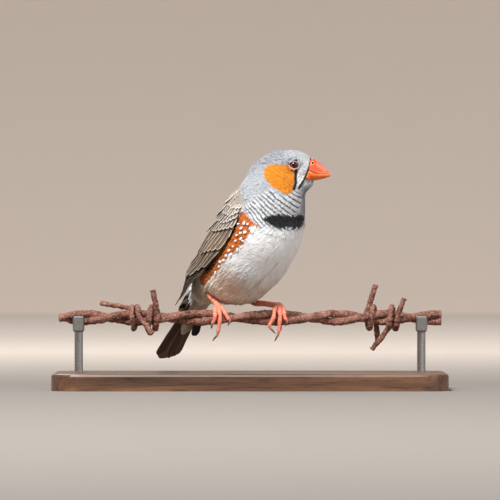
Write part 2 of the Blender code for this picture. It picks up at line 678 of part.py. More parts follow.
def tail_vane(name, root, tip, half, level, collection, tilt, steps=5, ribs=3):
    """A feather of the tail from root to tip, each (A, back, right)."""
    root, tip = np.array(root), np.array(tip)
    path, across, out = [], [], []
    along = trunk_at(*tip) - trunk_at(*root)
    right = unit(RIGHT - unit(along) * np.dot(RIGHT, unit(along)))
    up = unit(np.cross(right, along))
    up = up if np.dot(up, BACK) > 0 else -up
    for s in np.linspace(0, 1, steps):
        place = root + (tip - root) * s
        path.append(trunk_at(*place) + up * level)
        across.append(right)
        out.append(up)
    return vane(name, path, across, out, half, VANE_THICKNESS, tilt, collection, ribs)


def make_tail(flesh_skin, collection):
    """The tail feathers with the middle pair on top, and the coverts over and under their roots."""
    vanes = []
    for i in range(TAIL_FEATHERS):
        k = 2 * i / (TAIL_FEATHERS - 1) - 1
        level = -TAIL_DROP * abs(k) + SIDE_STEP * (k > 0) + LIFT_CHANGE * math.sin(5 * i)
        vanes.append(tail_vane(f"tail_feather_{i}", (*TAIL_ROOT, TAIL_ROOT_HALF * k + TAIL_SHIFT),
                               (TAIL_TIP[0] + TAIL_SHORTER * k**2, TAIL_TIP[1],
                                (TAIL_HALF - TAIL_ROOT_HALF) * k + TAIL_SHIFT),
                               TAIL_VANE_HALF, level, collection, TAIL_TILT * np.sign(k)))
    for row in TAIL_COVERTS:
        for i in range(TAIL_COVERT_COUNT):
            k = 2 * i / (TAIL_COVERT_COUNT - 1) - 1
            root = (*row["root"], row["spread"][0] * k + row["shift"])
            tip = (row["tip"][0] + row["shorter"] * abs(k), row["tip"][1], row["spread"][1] * k + row["shift"])
            level = row["level"] - row["drop"] * abs(k) + LIFT_CHANGE * (i - 2)
            vanes.append(tail_vane(f"{row['name']}_{i}", root, tip, row["half"], level, collection,
                                   row["tilt"] * np.sign(k)))
    tail = vanes.pop(0)
    tail.name = "tail"
    fuse(tail, vanes, "MANIFOLD")
    cut(tail, flesh_skin, "MANIFOLD")
    return tail


# Legs and feet

def over_wire(x, y, z):
    return np.array((x, y, WIRE_Z + z))


def make_leg(name, side, collection, grow=0.0):
    """The bare part of the leg from its sunk end in the belly down to the foot, or its socket where grown."""
    ankle, bend, sunk = (over_wire(*LEG[side][key]) for key in ("ankle", "bend", "sunk"))
    ball = over_wire(LEG[side]["foot_x"], FOOT_Y, FOOT_BALL_Z)
    end = ball - unit(ball - ankle) * (FOOT_BALL_RADIUS + 2 * GAP)
    path = [sunk + unit(sunk - bend) * grow] + [bend + (end - bend) * s for s in LEG_STATIONS]
    return tube(name, path, [radius + grow for radius in LEG_RADII], collection)


def toe_path(foot_x, toe, front):
    """From the ball of the foot round the wire to the toe's end and its claw."""
    sign = -1 if front else 1
    knuckle, mid, end, tip = toe["x"]
    points = [over_wire(foot_x, FOOT_Y, FOOT_BALL_Z)]
    for angle, shift in zip(TOE_ANGLES, (knuckle, (knuckle + mid) / 2, mid)):
        t = math.radians(angle)
        points.append(over_wire(foot_x + shift, sign * TOE_REACH * math.sin(t), TOE_REACH * math.cos(t)))
    points.append(over_wire(foot_x + end, *toe["end"]))
    middle = (np.array(toe["end"]) + np.array(toe["tip"])) / 2 + np.array((sign * CLAW_ARCH[0], CLAW_ARCH[1]))
    points.append(over_wire(foot_x + (end + tip) / 2, *middle))
    points.append(over_wire(foot_x + tip, *toe["tip"]))
    return points


def make_foot(side, collection):
    """Three toes over the front of the wire and one round its back."""
    foot_x = LEG[side]["foot_x"]
    foot = sphere("foot_" + side, over_wire(foot_x, FOOT_Y, FOOT_BALL_Z), FOOT_BALL_RADIUS, collection,
                  stretch=(1.15, 1.0, 1.0), segments=10, rings=6)
    toes = []
    radii = [TOE_RADIUS * k for k in TOE_TAPER]
    for i, toe in enumerate(TOES[side]):
        toes.append(tube(f"toe_{side}_{i}", toe_path(foot_x, toe, True), radii, collection, sides=6))
    toes.append(tube(f"hallux_{side}", toe_path(foot_x, HALLUX, False), radii, collection, sides=6))
    fuse(foot, toes)
    return foot


# Wire, barbs and stand

def twist(x):
    """The angle of the first strand round the wire's axis."""
    stations = [(place, k * math.pi) for k, place in enumerate(HALF_TURNS)]
    return smooth_value(stations, 1, x)


def make_strand(name, phase, collection):
    path = []
    for x in np.linspace(*WIRE_ENDS, STRAND_STEPS):
        t = twist(x) + phase
        path.append(over_wire(x, -STRAND_OFFSET * math.cos(t), STRAND_OFFSET * math.sin(t)))
    return tube(name, path, [STRAND_RADIUS] * len(path), collection)


BARBS = (                        # turn angles in degrees: 0 faces the camera, 90 is the top
    dict(name="barb_left_a", x=(-42.6, -39.6), turn=(478, 12), first=(-53.4, 3.6, 5.2), last=(-34.6, -5.6, -5.6)),
    dict(name="barb_left_b", x=(-36.4, -32.8), turn=(-440, 18), first=(-35.6, 9.0, -5.6), last=(-34.6, -5.2, 9.8)),
    dict(name="barb_right_a", x=(41.6, 44.6), turn=(160, 540), first=(44.9, 2.6, 11.7), last=(45.6, 5.0, -8.2)),
    dict(name="barb_right_b", x=(52.6, 49.2), turn=(14, -440), first=(54.9, -4.6, 6.9), last=(43.4, 0.6, -11.4)),
)


def make_barb(barb, collection):
    """One short wire: a leg, a coil round both strands and a second leg, each leg cut off bare."""
    begin, end = barb["turn"]
    count = int(abs(end - begin) / BARB_STEP)
    path = [over_wire(*barb["first"])]
    for k in np.linspace(0, 1, count):
        t = math.radians(begin + (end - begin) * k)
        x = barb["x"][0] + (barb["x"][1] - barb["x"][0]) * k
        path.append(over_wire(x, -BARB_COIL * math.cos(t), BARB_COIL * math.sin(t)))
    path.append(over_wire(*barb["last"]))
    return tube(barb["name"], path, [BARB_RADIUS * BARB_SHRINK] * len(path), collection)


def make_base(collection):
    mesh = bpy.data.meshes.new("stand_base")
    bm = bmesh.new()
    bmesh.ops.create_cube(bm, size=1.0)
    bmesh.ops.scale(bm, vec=[s * MM for s in BASE], verts=bm.verts)
    bmesh.ops.translate(bm, vec=(0, 0, BASE[2] / 2 * MM), verts=bm.verts)
    upright = [e for e in bm.edges if abs(e.verts[0].co.z - e.verts[1].co.z) > 0.5 * BASE[2] * MM]
    bmesh.ops.bevel(bm, geom=upright, offset=BASE_CORNER * MM, segments=5, affect="EDGES", profile=0.5)
    rim = [e for e in bm.edges if min(v.co.z for v in e.verts) > 0.9 * BASE[2] * MM]
    bmesh.ops.bevel(bm, geom=rim, offset=BASE_RIM * MM, segments=2, affect="EDGES", profile=0.5)
    bm.to_mesh(mesh)
    bm.free()
    base = bpy.data.objects.new("stand_base", mesh)
    collection.objects.link(base)
    return base


def make_rod(name, x, collection, cutters):
    """A rod up from the base, with a notched block that the wire lies in."""
    wide, deep, high = CRADLE
    top = WIRE_Z + CRADLE_TOP
    foot = BASE[2] + GAP
    rod = tube(name, [(x, 0, foot), (x, 0, top - high + 1)], [ROD_RADIUS] * 2, collection, sides=16)
    block = bpy.data.meshes.new(name + "_block")
    bm = bmesh.new()
    bmesh.ops.create_cube(bm, size=1.0)
    bmesh.ops.scale(bm, vec=(wide * MM, deep * MM, high * MM), verts=bm.verts)
    bmesh.ops.translate(bm, vec=(x * MM, 0, (top - high / 2) * MM), verts=bm.verts)
    bmesh.ops.bevel(bm, geom=bm.edges[:], offset=CRADLE_EDGE * MM, segments=1, affect="EDGES")
    bm.to_mesh(block)
    bm.free()
    cradle = bpy.data.objects.new(name + "_block", block)
    collection.objects.link(cradle)
    fuse(rod, [cradle])
    notch = tube(name + "_notch", [(x - wide, 0, WIRE_Z), (x + wide, 0, WIRE_Z)], [CABLE_RADIUS + GAP] * 2,
                 cutters, sides=16)
    cut(rod, notch)
    bpy.data.objects.remove(notch, do_unlink=True)
    return rod


MATERIAL_OF = {
    "head": "grey_feathers", "neck": "grey_feathers", "torso": "white_feathers", "tail": "tail_feathers",
    "wing": "brown_feathers", "eye": "eye", "bill": "orange_bill", "leg": "leg_skin", "foot": "leg_skin",
    "wire": "rusty_wire", "barb": "rusty_wire", "stand": "stand_metal",
}


def main():
    clear_scene()
    finch = bpy.data.collections.new("zebra_finch")
    cutters = bpy.data.collections.new("cutters")
    for group in (finch, cutters):
        bpy.context.scene.collection.children.link(group)
    flesh = make_flesh(finch)
    skin = grown_copy(flesh, "flesh_skin", SKIN_CLEARANCE, cutters)
    apply_modifier(skin, "DECIMATE", ratio=SKIN_SHARE, use_collapse_triangulate=True)
    for side, sign in (("right", 1), ("left", -1)):
        make_wing("wing_" + side, sign, skin, finch, cutters)
        make_foot(side, finch)
        make_leg("leg_" + side, side, finch)
    make_tail(skin, finch)
    bpy.data.objects.remove(skin, do_unlink=True)
    for side, sign in (("right", 1), ("left", -1)):
        for seat in (make_pad("wing_seat", sign, cutters, GAP, SEAT_TOP), make_leg("leg_seat", side, cutters, GAP)):
            cut(flesh, seat, "MANIFOLD")
            bpy.data.objects.remove(seat, do_unlink=True)
    nodes = part_flesh(flesh, finch, cutters)
    make_head_details(nodes, finch, cutters)
    make_strand("wire_strand_a", 0.0, finch)
    make_strand("wire_strand_b", math.pi, finch)
    for barb in BARBS:
        make_barb(barb, finch)
    make_base(finch)
    make_rod("stand_rod_left", -ROD_X, finch, cutters)
    make_rod("stand_rod_right", ROD_X, finch, cutters)
    for node in finch.objects:
        node.data.materials.clear()
        wood = node.name == "stand_base"
        node.data.materials.append(material("stand_wood" if wood else MATERIAL_OF[node.name.split("_")[0]]))


main()
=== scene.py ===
# Zebra finch, a male at life size, perched on a short cut length of barbed wire on a plain stand.
import math

import bpy
import numpy as np
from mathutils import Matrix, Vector
from mathutils.bvhtree import BVHTree


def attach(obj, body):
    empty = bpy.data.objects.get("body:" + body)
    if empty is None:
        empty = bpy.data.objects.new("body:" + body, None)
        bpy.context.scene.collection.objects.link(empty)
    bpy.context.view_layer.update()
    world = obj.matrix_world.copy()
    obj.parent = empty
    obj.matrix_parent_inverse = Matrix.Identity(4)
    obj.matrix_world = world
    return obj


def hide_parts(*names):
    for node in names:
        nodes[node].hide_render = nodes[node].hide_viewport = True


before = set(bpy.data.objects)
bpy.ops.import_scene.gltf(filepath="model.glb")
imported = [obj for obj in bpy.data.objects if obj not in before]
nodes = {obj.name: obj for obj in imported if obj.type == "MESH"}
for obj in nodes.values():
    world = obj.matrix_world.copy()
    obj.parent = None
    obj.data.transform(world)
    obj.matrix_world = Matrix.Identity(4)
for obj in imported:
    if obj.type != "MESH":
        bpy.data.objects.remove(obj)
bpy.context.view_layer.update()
mm = 0.001
rng = np.random.default_rng(11)

# Sizes below are millimetres, in the frame's own axes: X to the right, Z up, the camera looks along +Y.
wire = {"height": 25.5, "strandOffset": 1.4, "ends": (-68.0, 68.0),
        "halfTurns": (-89.0, -66.7, -50.4, -29.5, -5.0, 20.9, 39.8, 56.8, 80.9)}
trunk = {"yaw": 50, "pitch": 47, "point": (-0.1, -1.0, wire["height"] + 24.4)}
head = {"middleY": -13.5, "middle": (11.0, 0.0, 51.5), "billBase": (23.0, 0.0, 52.5),
        "neckHeight": (38.0, 50.0)}
eye = {"x": 15.7, "side": 4.3, "height": 54.3, "radius": 2.0, "bulge": 1.15, "forward": 6, "up": 2,
       "shift": (-0.2, 0.0, -0.3), "tilt": -12}
lid = {"half": (1.74, 1.30), "tube": 0.14, "lift": 1.72}

yaw, pitch = math.radians(trunk["yaw"]), math.radians(trunk["pitch"])
trunkPoint = np.array(trunk["point"])
axisWay = np.array((math.cos(yaw) * math.cos(pitch), -math.sin(yaw) * math.cos(pitch), math.sin(pitch)))
backWay = np.array((-math.cos(yaw) * math.sin(pitch), math.sin(yaw) * math.sin(pitch), math.cos(pitch)))
rightWay = np.array((-math.sin(yaw), -math.cos(yaw), 0.0))


def unit(v):
    v = np.asarray(v, float)
    return v / np.maximum(np.linalg.norm(v, axis=-1, keepdims=True), 1e-9)


def rise(low, high, x):
    # 0 below low, 1 over high, smooth between them
    t = np.clip((np.asarray(x, float) - low) / (high - low), 0, 1)
    return t * t * (3 - 2 * t)


def waves(points, size, seed, count=7):
    # smooth wandering values between about -1 and 1, with bumps of about this size
    draw = np.random.default_rng(seed)
    total = np.zeros(len(points))
    for way in unit(draw.normal(size=(count, 3))):
        total += np.sin(points @ way * (2 * math.pi / size) * draw.uniform(0.6, 1.4) + draw.uniform(0, 6.3))
    return total / math.sqrt(count)


def paint(red, green, blue):
    # a colour as seen, 0 to 255, made linear
    c = np.array((red, green, blue)) / 255
    return np.where(c > 0.04045, ((c + 0.055) / 1.055) ** 2.4, c / 12.92)


def mix(first, second, share):
    share = np.asarray(share, float)[:, None]
    return first * (1 - share) + second * share


def interp(line, x):
    xs, ys = zip(*line)
    return np.interp(x, xs, ys)


def heightOf(points):
    # heights over the wire
    return points[:, 2] - wire["height"]


def overWire(x, y, z):
    return np.array((x, y, wire["height"] + z))


def headPoint(x, across, height):
    # across is the distance from the head's middle line
    return overWire(x, head["middleY"] + across, height)


def eyeMiddle(side):
    return headPoint(eye["x"], side * eye["side"], eye["height"])


def bodyPlace(points):
    # A along the trunk, the angle in degrees from the middle of the back (right is positive), and the radius
    q = points - trunkPoint
    a, b, r = q @ axisWay, q @ backWay, q @ rightWay
    return a, np.degrees(np.arctan2(r, b)), np.hypot(b, r)


def trunkAt(along, back, right=0.0):
    return trunkPoint + along * axisWay + back * backWay + right * rightWay


def inside(outline, x, z):
    # even-odd test of many points against one closed outline
    hit = np.zeros(len(x), bool)
    for (x0, z0), (x1, z1) in zip(outline, outline[1:] + outline[:1]):
        if z0 != z1:
            hit ^= ((z0 > z) != (z1 > z)) & (x < (x1 - x0) * (z - z0) / (z1 - z0) + x0)
    return hit


def lineDistance(line, x, z):
    best = np.full(len(x), 1e9)
    for (x0, z0), (x1, z1) in zip(line, line[1:]):
        dx, dz = x1 - x0, z1 - z0
        t = np.clip(((x - x0) * dx + (z - z0) * dz) / (dx * dx + dz * dz), 0, 1)
        best = np.minimum(best, np.hypot(x - x0 - t * dx, z - z0 - t * dz))
    return best


# Tools for making pieces

def select(*things):
    bpy.ops.object.select_all(action="DESELECT")
    for thing in things:
        thing.select_set(True)
    bpy.context.view_layer.objects.active = things[0]


def applied(thing, kind, **settings):
    select(thing)
    modifier = thing.modifiers.new(kind.title(), kind)
    for key, value in settings.items():
        setattr(modifier, key, value)
    bpy.ops.object.modifier_apply(modifier=modifier.name)


def joined(name, *parts):
    select(*parts)
    bpy.ops.object.join()
    parts[0].name = name
    return parts[0]


def merged(thing, distance=0.01, outwards=False):
    select(thing)
    bpy.ops.object.mode_set(mode="EDIT")
    bpy.ops.mesh.select_all(action="SELECT")
    bpy.ops.mesh.remove_doubles(threshold=distance * mm)
    if outwards:
        bpy.ops.mesh.normals_make_consistent(inside=False)
    bpy.ops.object.mode_set(mode="OBJECT")


def addedBall(radius, location=(0, 0, 0), scale=(1, 1, 1), segments=48, rings=24, axis=None):
    # a sphere in metres, with its place, size and turn kept in its mesh
    bpy.ops.object.select_all(action="DESELECT")
    bpy.ops.mesh.primitive_uv_sphere_add(segments=segments, ring_count=rings, radius=radius,
                                         location=location, scale=scale)
    ball = bpy.context.object
    if axis is not None:
        ball.rotation_euler = Vector(axis).to_track_quat("Z", "Y").to_euler()
    bpy.ops.object.transform_apply(location=True, rotation=True, scale=True)
    return ball


def copiedNodes(name, names):
    # one new object from copies of CAD nodes
    copies = []
    for n in names:
        copy = bpy.data.objects.new(name, nodes[n].data.copy())
        bpy.context.scene.collection.objects.link(copy)
        copies.append(copy)
    if len(copies) > 1:
        joined(name, *copies)
    copies[0].name = name
    merged(copies[0])
    return copies[0]


def places(thing):
    co = np.empty(len(thing.data.vertices) * 3)
    thing.data.vertices.foreach_get("co", co)
    return co.reshape(-1, 3) / mm


def normals(thing):
    n = np.empty(len(thing.data.vertices) * 3)
    thing.data.vertices.foreach_get("normal", n)
    return n.reshape(-1, 3)


def setPlaces(thing, points):
    thing.data.vertices.foreach_set("co", (points * mm).ravel())
    thing.data.update()


def setColours(thing, colours):
    made = thing.data.attributes.new("coat", "FLOAT_COLOR", "POINT")
    full = np.ones((len(thing.data.vertices), 4))
    full[:, :3] = np.clip(colours, 0, 1)
    made.data.foreach_set("color", full.ravel())


def setBars(thing, phase, share):
    for name, values in (("barPhase", phase), ("barShare", share)):
        thing.data.attributes.new(name, "FLOAT", "POINT").data.foreach_set("value", values)


def meshFrom(name, points, triangles, colours, kinds=None, bakeUv=None):
    # a smooth mesh object from arrays of points in millimetres and triangles; an edge is sharp
    # where the kinds of its two ends have a bit in common
    mesh = bpy.data.meshes.new(name)
    mesh.vertices.add(len(points))
    mesh.vertices.foreach_set("co", (np.asarray(points) * mm).ravel())
    mesh.loops.add(triangles.size)
    mesh.loops.foreach_set("vertex_index", triangles.ravel().astype(np.int32))
    mesh.polygons.add(len(triangles))
    mesh.polygons.foreach_set("loop_start", np.arange(0, triangles.size, 3, dtype=np.int32))
    mesh.polygons.foreach_set("use_smooth", np.ones(len(triangles), bool))
    mesh.update(calc_edges=True)
    made = bpy.data.objects.new(name, mesh)
    bpy.context.scene.collection.objects.link(made)
    setColours(made, colours)
    if kinds is not None:
        pairs = np.empty(len(mesh.edges) * 2, np.int32)
        mesh.edges.foreach_get("vertices", pairs)
        first, second = kinds[pairs.reshape(-1, 2)].T
        rim = (first & second) > 0
        mesh.attributes.new("sharp_edge", "BOOLEAN", "EDGE").data.foreach_set("value", rim)
    if bakeUv is not None:
        layer = mesh.uv_layers.new(name="OFBake")
        layer.data.foreach_set("uv", bakeUv[triangles.ravel()].ravel())
    return made


def finishPiece(piece, material, slotName, *replaced):
    piece.data.materials.clear()
    piece.data.materials.append(material)
    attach(piece, "root")
    if replaced:
        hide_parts(*replaced)
    return piece


# Tools for making materials

def newMaterial(name):
    material = bpy.data.materials.new(name)
    material.use_nodes = True
    return material, material.node_tree, material.node_tree.nodes["Principled BSDF"]


def fed(tree, node, inputs):
    # each input gets a number, a colour or the output that feeds it
    for name, value in inputs.items():
        if isinstance(value, bpy.types.NodeSocket):
            tree.links.new(value, node.inputs[name])
        else:
            node.inputs[name].default_value = value
    return node


def added(tree, kind, inputs=None, **settings):
    node = tree.nodes.new("ShaderNode" + kind)
    for name, value in settings.items():
        setattr(node, name, value)
    return fed(tree, node, inputs or {})


def maths(tree, operation, *terms):
    return added(tree, "Math", dict(enumerate(terms)), operation=operation).outputs[0]


def mapped(tree, source, start, end, kind="LINEAR"):
    # the source's value, carried from one range to another
    inputs = {"Value": source, "From Min": start[0], "From Max": start[1], "To Min": end[0], "To Max": end[1]}
    return added(tree, "MapRange", inputs, interpolation_type=kind).outputs["Result"]


def bumped(tree, height, strength, distance):
    inputs = {"Height": height, "Strength": strength, "Distance": distance}
    return added(tree, "Bump", inputs).outputs["Normal"]


def objectPlace(tree, scale=None):
    # places on the object, stretched where a scale is given
    place = added(tree, "TexCoord").outputs["Object"]
    if scale is None:
        return place
    return added(tree, "Mapping", {"Vector": place, "Scale": scale}).outputs["Vector"]


def noise(tree, place, scale, detail, roughness=0.5, distortion=0.0):
    return added(tree, "TexNoise", {"Vector": place, "Scale": scale, "Detail": detail, "Roughness": roughness,
                                    "Distortion": distortion}).outputs["Fac"]


def ramp(tree, source, stops):
    # the source's value as a colour
    node = added(tree, "ValToRGB", {"Fac": source})
    elements = node.color_ramp.elements
    while len(elements) < len(stops):
        elements.new(0.5)
    for element, (place, colour) in zip(elements, stops):
        element.position = place
        element.color = (*colour, 1)
    return node.outputs["Color"]


def blended(tree, kind, share, first, second):
    # two colours laid over each other
    node = added(tree, "Mix", {"Factor": share, 6: first, 7: second}, data_type="RGBA", blend_type=kind)
    return node.outputs[2]


# Markings, and the line of a painted shade along the belly's fold: outlines as X and height over the wire on
# the head, A and angle on the body

marks = {
    "cheek": [(5.8, 53.8), (8.1, 54.3), (12.6, 54.2), (14.1, 53.6), (15.3, 52.6), (15.9, 51.4), (15.7, 47.5),
              (15.2, 45.7), (14.5, 44.2), (13.3, 43.5), (11.9, 44.2), (9.8, 45.2), (7.6, 46.6), (6.3, 48.0),
              (5.4, 49.4), (4.8, 51.0), (5.0, 52.5)],
    "tear": [(16.5, 52.7), (16.2, 51.1), (16.1, 49.2), (16.2, 47.8), (15.5, 45.6)], "tearHalf": 0.5,
    "billLine": [(21.75, 57.0), (21.5, 56.2), (21.1, 53.8), (20.7, 52.7), (20.2, 51.4), (19.9, 50.7),
                 (19.1, 48.8), (18.2, 47.4), (17.3, 45.9)], "billLineHalf": 0.38,
    "billEdge": [(45.9, 17.7), (47.4, 18.6), (48.85, 19.45), (50.6, 20.25), (51.4, 20.55), (52.6, 21.1),
                 (53.8, 21.5), (56.0, 21.85), (56.8, 22.2), (57.6, 22.9)],  # each a height and its X
    "billSide": [(18.6, 47.9), (21.0, 47.9), (22.6, 48.1), (24.2, 48.5), (26.0, 49.0), (30, 50), (30, 52),
                 (26, 56), (22.5, 57.6), (21.5, 57.6)],
    "lore": [(16.8, 53.2), (21.0, 53.2), (20.0, 51.9), (19.2, 49.5), (17.4, 46.3), (16.3, 46.8)],
    "foldShade": [(7.5, 44.3), (5.8, 44.1), (2.8, 43.2), (-0.8, 41.9), (-6.4, 41.0), (-9.6, 41.2)],
    "barTop": [(-14, 34.0), (-6, 37.0), (-2.5, 39.4), (3, 43.2), (7.1, 45.6), (11.7, 43.0), (14.9, 44.6),
               (17.0, 47.0), (19.9, 49.0), (24.0, 50.4)],
    "barLow": [(80, 19.6), (97, 18.9), (108, 18.2), (120, 17.4), (129, 17.5), (138, 19.3), (180, 19.3)],
    "barPeriod": 1.16, "dashPeriod": 0.95, "barTilt": [(19, 0.062), (29, 0.026)],
    "bandTop": [(123, 20.7), (126.6, 21.7), (131.3, 22.6), (141, 23.5), (153, 24.0), (180, 24.0)],
    "bandLow": [(123, 20.5), (132.8, 20.4), (139.9, 19.8), (148.9, 19.7), (159.3, 20.2), (169.2, 20.0),
                (175, 20.7), (180, 20.4)],
    "flank": [(18.6, 91), (18.4, 96), (18.1, 104.4), (17.9, 116.8), (18.2, 125.5), (17.3, 123), (16.7, 116),
              (15.8, 115.3), (13.8, 118.3), (11.1, 121.2), (9.0, 120.2), (5.2, 115.8), (2.2, 112),
              (-1.9, 109.9), (-6.3, 106.9), (-10.5, 101.9), (-14.2, 98.4), (-17.1, 93.7), (-18.6, 86),
              (-18.6, 70), (0, 76), (12, 84)],
    "spots": [(16.9, 101.3), (15.0, 97.5), (14.6, 104), (12.7, 107), (11.4, 111.5), (10.8, 117.2), (8.9, 107),
              (10.9, 103.5), (6.5, 109), (4.2, 105.7), (3.6, 111.4), (1.7, 106.2), (7.0, 114.5), (-0.4, 107),
              (-2.3, 103.4), (-4.2, 104.6), (-5.6, 100.2), (-8.9, 96.6), (13.2, 100.5), (17.4, 108),
              (14.5, 112), (-7.6, 102.2)],
}
colours = {
    "grey": paint(172, 176, 182), "greyDark": paint(118, 122, 130), "neck": paint(198, 202, 207),
    "throat": paint(70, 79, 96), "orange": paint(246, 158, 34),
    "orangeDark": paint(226, 122, 12), "black": paint(20, 20, 23), "white": paint(244, 246, 248),
    "barLight": paint(236, 239, 243), "belly": paint(248, 250, 252),
    "cream": paint(232, 214, 186), "pink": paint(238, 192, 168), "mantle": paint(172, 160, 147),
    "mantleLight": paint(214, 206, 196), "chestnut": paint(206, 112, 42), "chestnutDark": paint(136, 62, 22),
}


def barLines(points):
    # the zebra bars: their phase in turns and how strongly they show at each place
    x, height = points[:, 0], heightOf(points)
    along, angle, _ = bodyPlace(points)
    front = 180 + 40 * rise(23, 28, along)
    full = np.where(angle < 0, 360 + angle, angle)
    farSide = np.where(full < 260, 100 + (260 - full) * (front - 100) / (260 - front), 360 - full)
    around = np.where(full <= front, full, farSide)
    tilt = interp(marks["barTilt"], along)
    phase = (along + tilt * (around - 100) + 0.16 * waves(points, 6, 24)) / marks["barPeriod"]
    angle = np.abs(angle)
    share = rise(1.4, -1.6, height - interp(marks["barTop"], x)) * rise(70, 92, angle)
    besideFlank = 1 - inside(marks["flank"], along, angle)
    share *= rise(-0.5, 0.6, along - interp(marks["barLow"], angle)) * besideFlank
    share *= 1 - 0.45 * rise(0.2, 1.2, waves(points, 2.4, 38))
    # the chin has short dashes that lie the other way
    chin = chinShare(points)
    dashes = (0.8 * x - 0.6 * height + 0.07 * waves(points, 1.5, 35)) / marks["dashPeriod"]
    broken = rise(-0.5, 0.4, waves(points, 1.1, 34)) * rise(51.2, 49.8, height)
    onChin = chin > 0.5
    return np.where(onChin, dashes, phase), np.where(onChin, broken * (2 * chin - 1), share * (1 - 2 * chin))


def chinShare(points):
    x = points[:, 0]
    return rise(43.8, 46.0, heightOf(points) + 0.3 * (x - 17)) * rise(15.4, 17.6, x)


def coatColour(points):
    # the colour of the plumage at each place, alike on both sides of the bird
    x, height = points[:, 0], heightOf(points)
    along, signed, _ = bodyPlace(points)
    angle = np.abs(signed)
    fine, broad = waves(points, 1.6, 21), waves(points, 7.0, 22)
    mottled = np.clip(0.10 + 0.22 * waves(points, 1.1, 23) + 0.12 * fine, 0, 0.6)
    made = mix(colours["grey"], colours["greyDark"], mottled)
    made = mix(made, colours["neck"], 0.8 * rise(54, 48, height) * rise(13, 10, x) * rise(30, 50, angle))
    made = mix(made, colours["neck"], 0.7 * rise(11, 15, x) * rise(54, 56, height))
    # mantle and rump
    made = mix(made, colours["mantle"], rise(24.5, 18.5, along) * rise(100, 75, angle))
    paler = rise(0.3, 1.3, fine) * rise(24, 18, along) * rise(95, 70, angle) * 0.25
    made = mix(made, colours["mantleLight"], paler)
    made = mix(made, colours["white"], rise(-12, -16, along) * rise(42, 30, angle))
    # breast and belly
    barLow = interp(marks["barLow"], angle)
    below = rise(0.5, -0.5, along - barLow) * rise(78, 86, angle)
    below = np.maximum(below, rise(-12, -18, along) * rise(32, 44, angle))
    belly = mix(colours["belly"], colours["cream"],
                np.clip(rise(3, -16, along + 2.2 * broad) * 0.85 + 0.06 * fine, 0, 1))
    belly = mix(belly, colours["pink"], 0.5 * rise(8, 2, np.hypot(along + 9.5, (angle - 132) * 0.24)))
    # painted shade: a darker soft line along a fold in the belly feathers, on the right side only
    foldShade = rise(0.9, 0.1, lineDistance(marks["foldShade"], along, angle * 0.25)) * (signed > 0)
    belly = mix(belly, belly * 0.74, foldShade)
    belly = mix(belly, colours["cream"], 0.35 * rise(-14, -22, along) * rise(100, 80, angle))
    streak = waves(np.stack((along * 0.22, signed * 0.27, along * 0), axis=1), 1.7, 36)
    belly = belly * (1 - 0.13 * rise(0.1, 1.3, streak))[:, None]
    made = mix(made, belly, below)
    # zebra bars from the chin to the breast and round the sides of the neck
    top = interp(marks["barTop"], x)
    barred = rise(1.1, -1.3, height - top) * (1 - below) * rise(62, 84, angle)
    made = mix(made, colours["barLight"], barred * 0.9)
    # chin and the shaded front of the throat
    made = mix(made, colours["barLight"] * (0.80 + 0.12 * waves(points, 0.9, 34).clip(-1, 1))[:, None],
               chinShare(points) * rise(51, 49.6, height))
    shaded = 0.6 * rise(17.8, 19.2, x) * rise(47.5, 45, height) * rise(33, 37, height)
    made = mix(made, colours["throat"], shaded)
    # breast band
    bandTop, bandLow = interp(marks["bandTop"], angle), interp(marks["bandLow"], angle)
    ragged = 0.3 * waves(points, 1.5, 27)
    band = rise(-0.25, 0.25, bandTop + ragged - along) * rise(-0.25, 0.25, along - bandLow - ragged)
    band = band * (angle > 124)
    made = mix(made, colours["black"], band * (height < 48))
    # flank
    chestnut = mix(colours["chestnut"], colours["chestnutDark"],
                   np.clip(rise(2, -16, along) * 0.55 + 0.2 * fine, 0, 1))
    made = mix(made, chestnut, inside(marks["flank"], along, angle + 1.2 * fine))
    # face
    onHead = height > 42
    pale = 0.55 * rise(15.5, 18, x) * rise(57.5, 55, height) * rise(50, 52, height)
    made = mix(made, colours["white"], pale)
    made = mix(made, colours["white"], (inside(marks["lore"], x, height) & onHead) * rise(53.6, 52.0, height))
    ring = np.hypot((x - eye["x"]) / 1.62, (height - eye["height"]) / 1.32)
    made = mix(made, colours["barLight"], rise(1.4, 1.15, ring) * 0.6)
    # painted shade: a thin dark arc along the top of the eye, under the brow
    browShade = rise(0.12, 0.0, np.abs(ring - 1.3)) * rise(0, 0.6, height - eye["height"]) * 0.3
    made = mix(made, colours["greyDark"] * 0.6, browShade)
    cheek = inside(marks["cheek"], x + 0.12 * fine, height + 0.12 * waves(points, 1.0, 28)) & onHead
    orange = mix(colours["orange"], colours["orangeDark"], np.clip(0.25 + 0.3 * waves(points, 0.9, 29), 0, 1))
    made = mix(made, orange, cheek)
    line = np.minimum(lineDistance(marks["tear"], x, height) - marks["tearHalf"],
                      lineDistance(marks["billLine"], x, height) - marks["billLineHalf"])
    made = mix(made, colours["black"], rise(0.12, -0.12, line) * onHead)
    return made


# Skin: one closed form from the flesh nodes, inside them by the depth of the coat

skinSizes = {
    "grow": 0.22, "voxel": 0.4, "smooth": 10, "bodyDepth": 0.85, "headDepth": 0.42, "faceDepth": 0.3,
    "face": (19.0, 0.0, 52.0), "underBill": 0.3, "socket": 2.9, "lidRoom": 0.3, "behindEye": 1.6,
    "fuller": (dict(by=0.2, reach=2.2, place=(21.9, 0.0, 56.1)),
               dict(by=0.45, reach=2.4, place=(18.0, 4.2, 52.4))),
    "filler": dict(along=2.0, back=-0.3, radius=14.1, length=17.0), "billStart": 21.5,
    "billShare": [(21.5, 1), (25.5, 0.55), (29, 0.3)], "billAxis": 52.0, "shade": 0.7,
}
jaw = {"middle": headPoint(20.2, 0.0, 50.1), "half": (1.75, 3.9, 1.8)}


def inBill(points, margin):
    # places in front of the line where the feathers end and the bill begins, seen from the side
    x, height = points[:, 0], heightOf(points)
    return (x > interp(marks["billEdge"], height) - margin) & inside(marks["billSide"], x, height + 0.001)


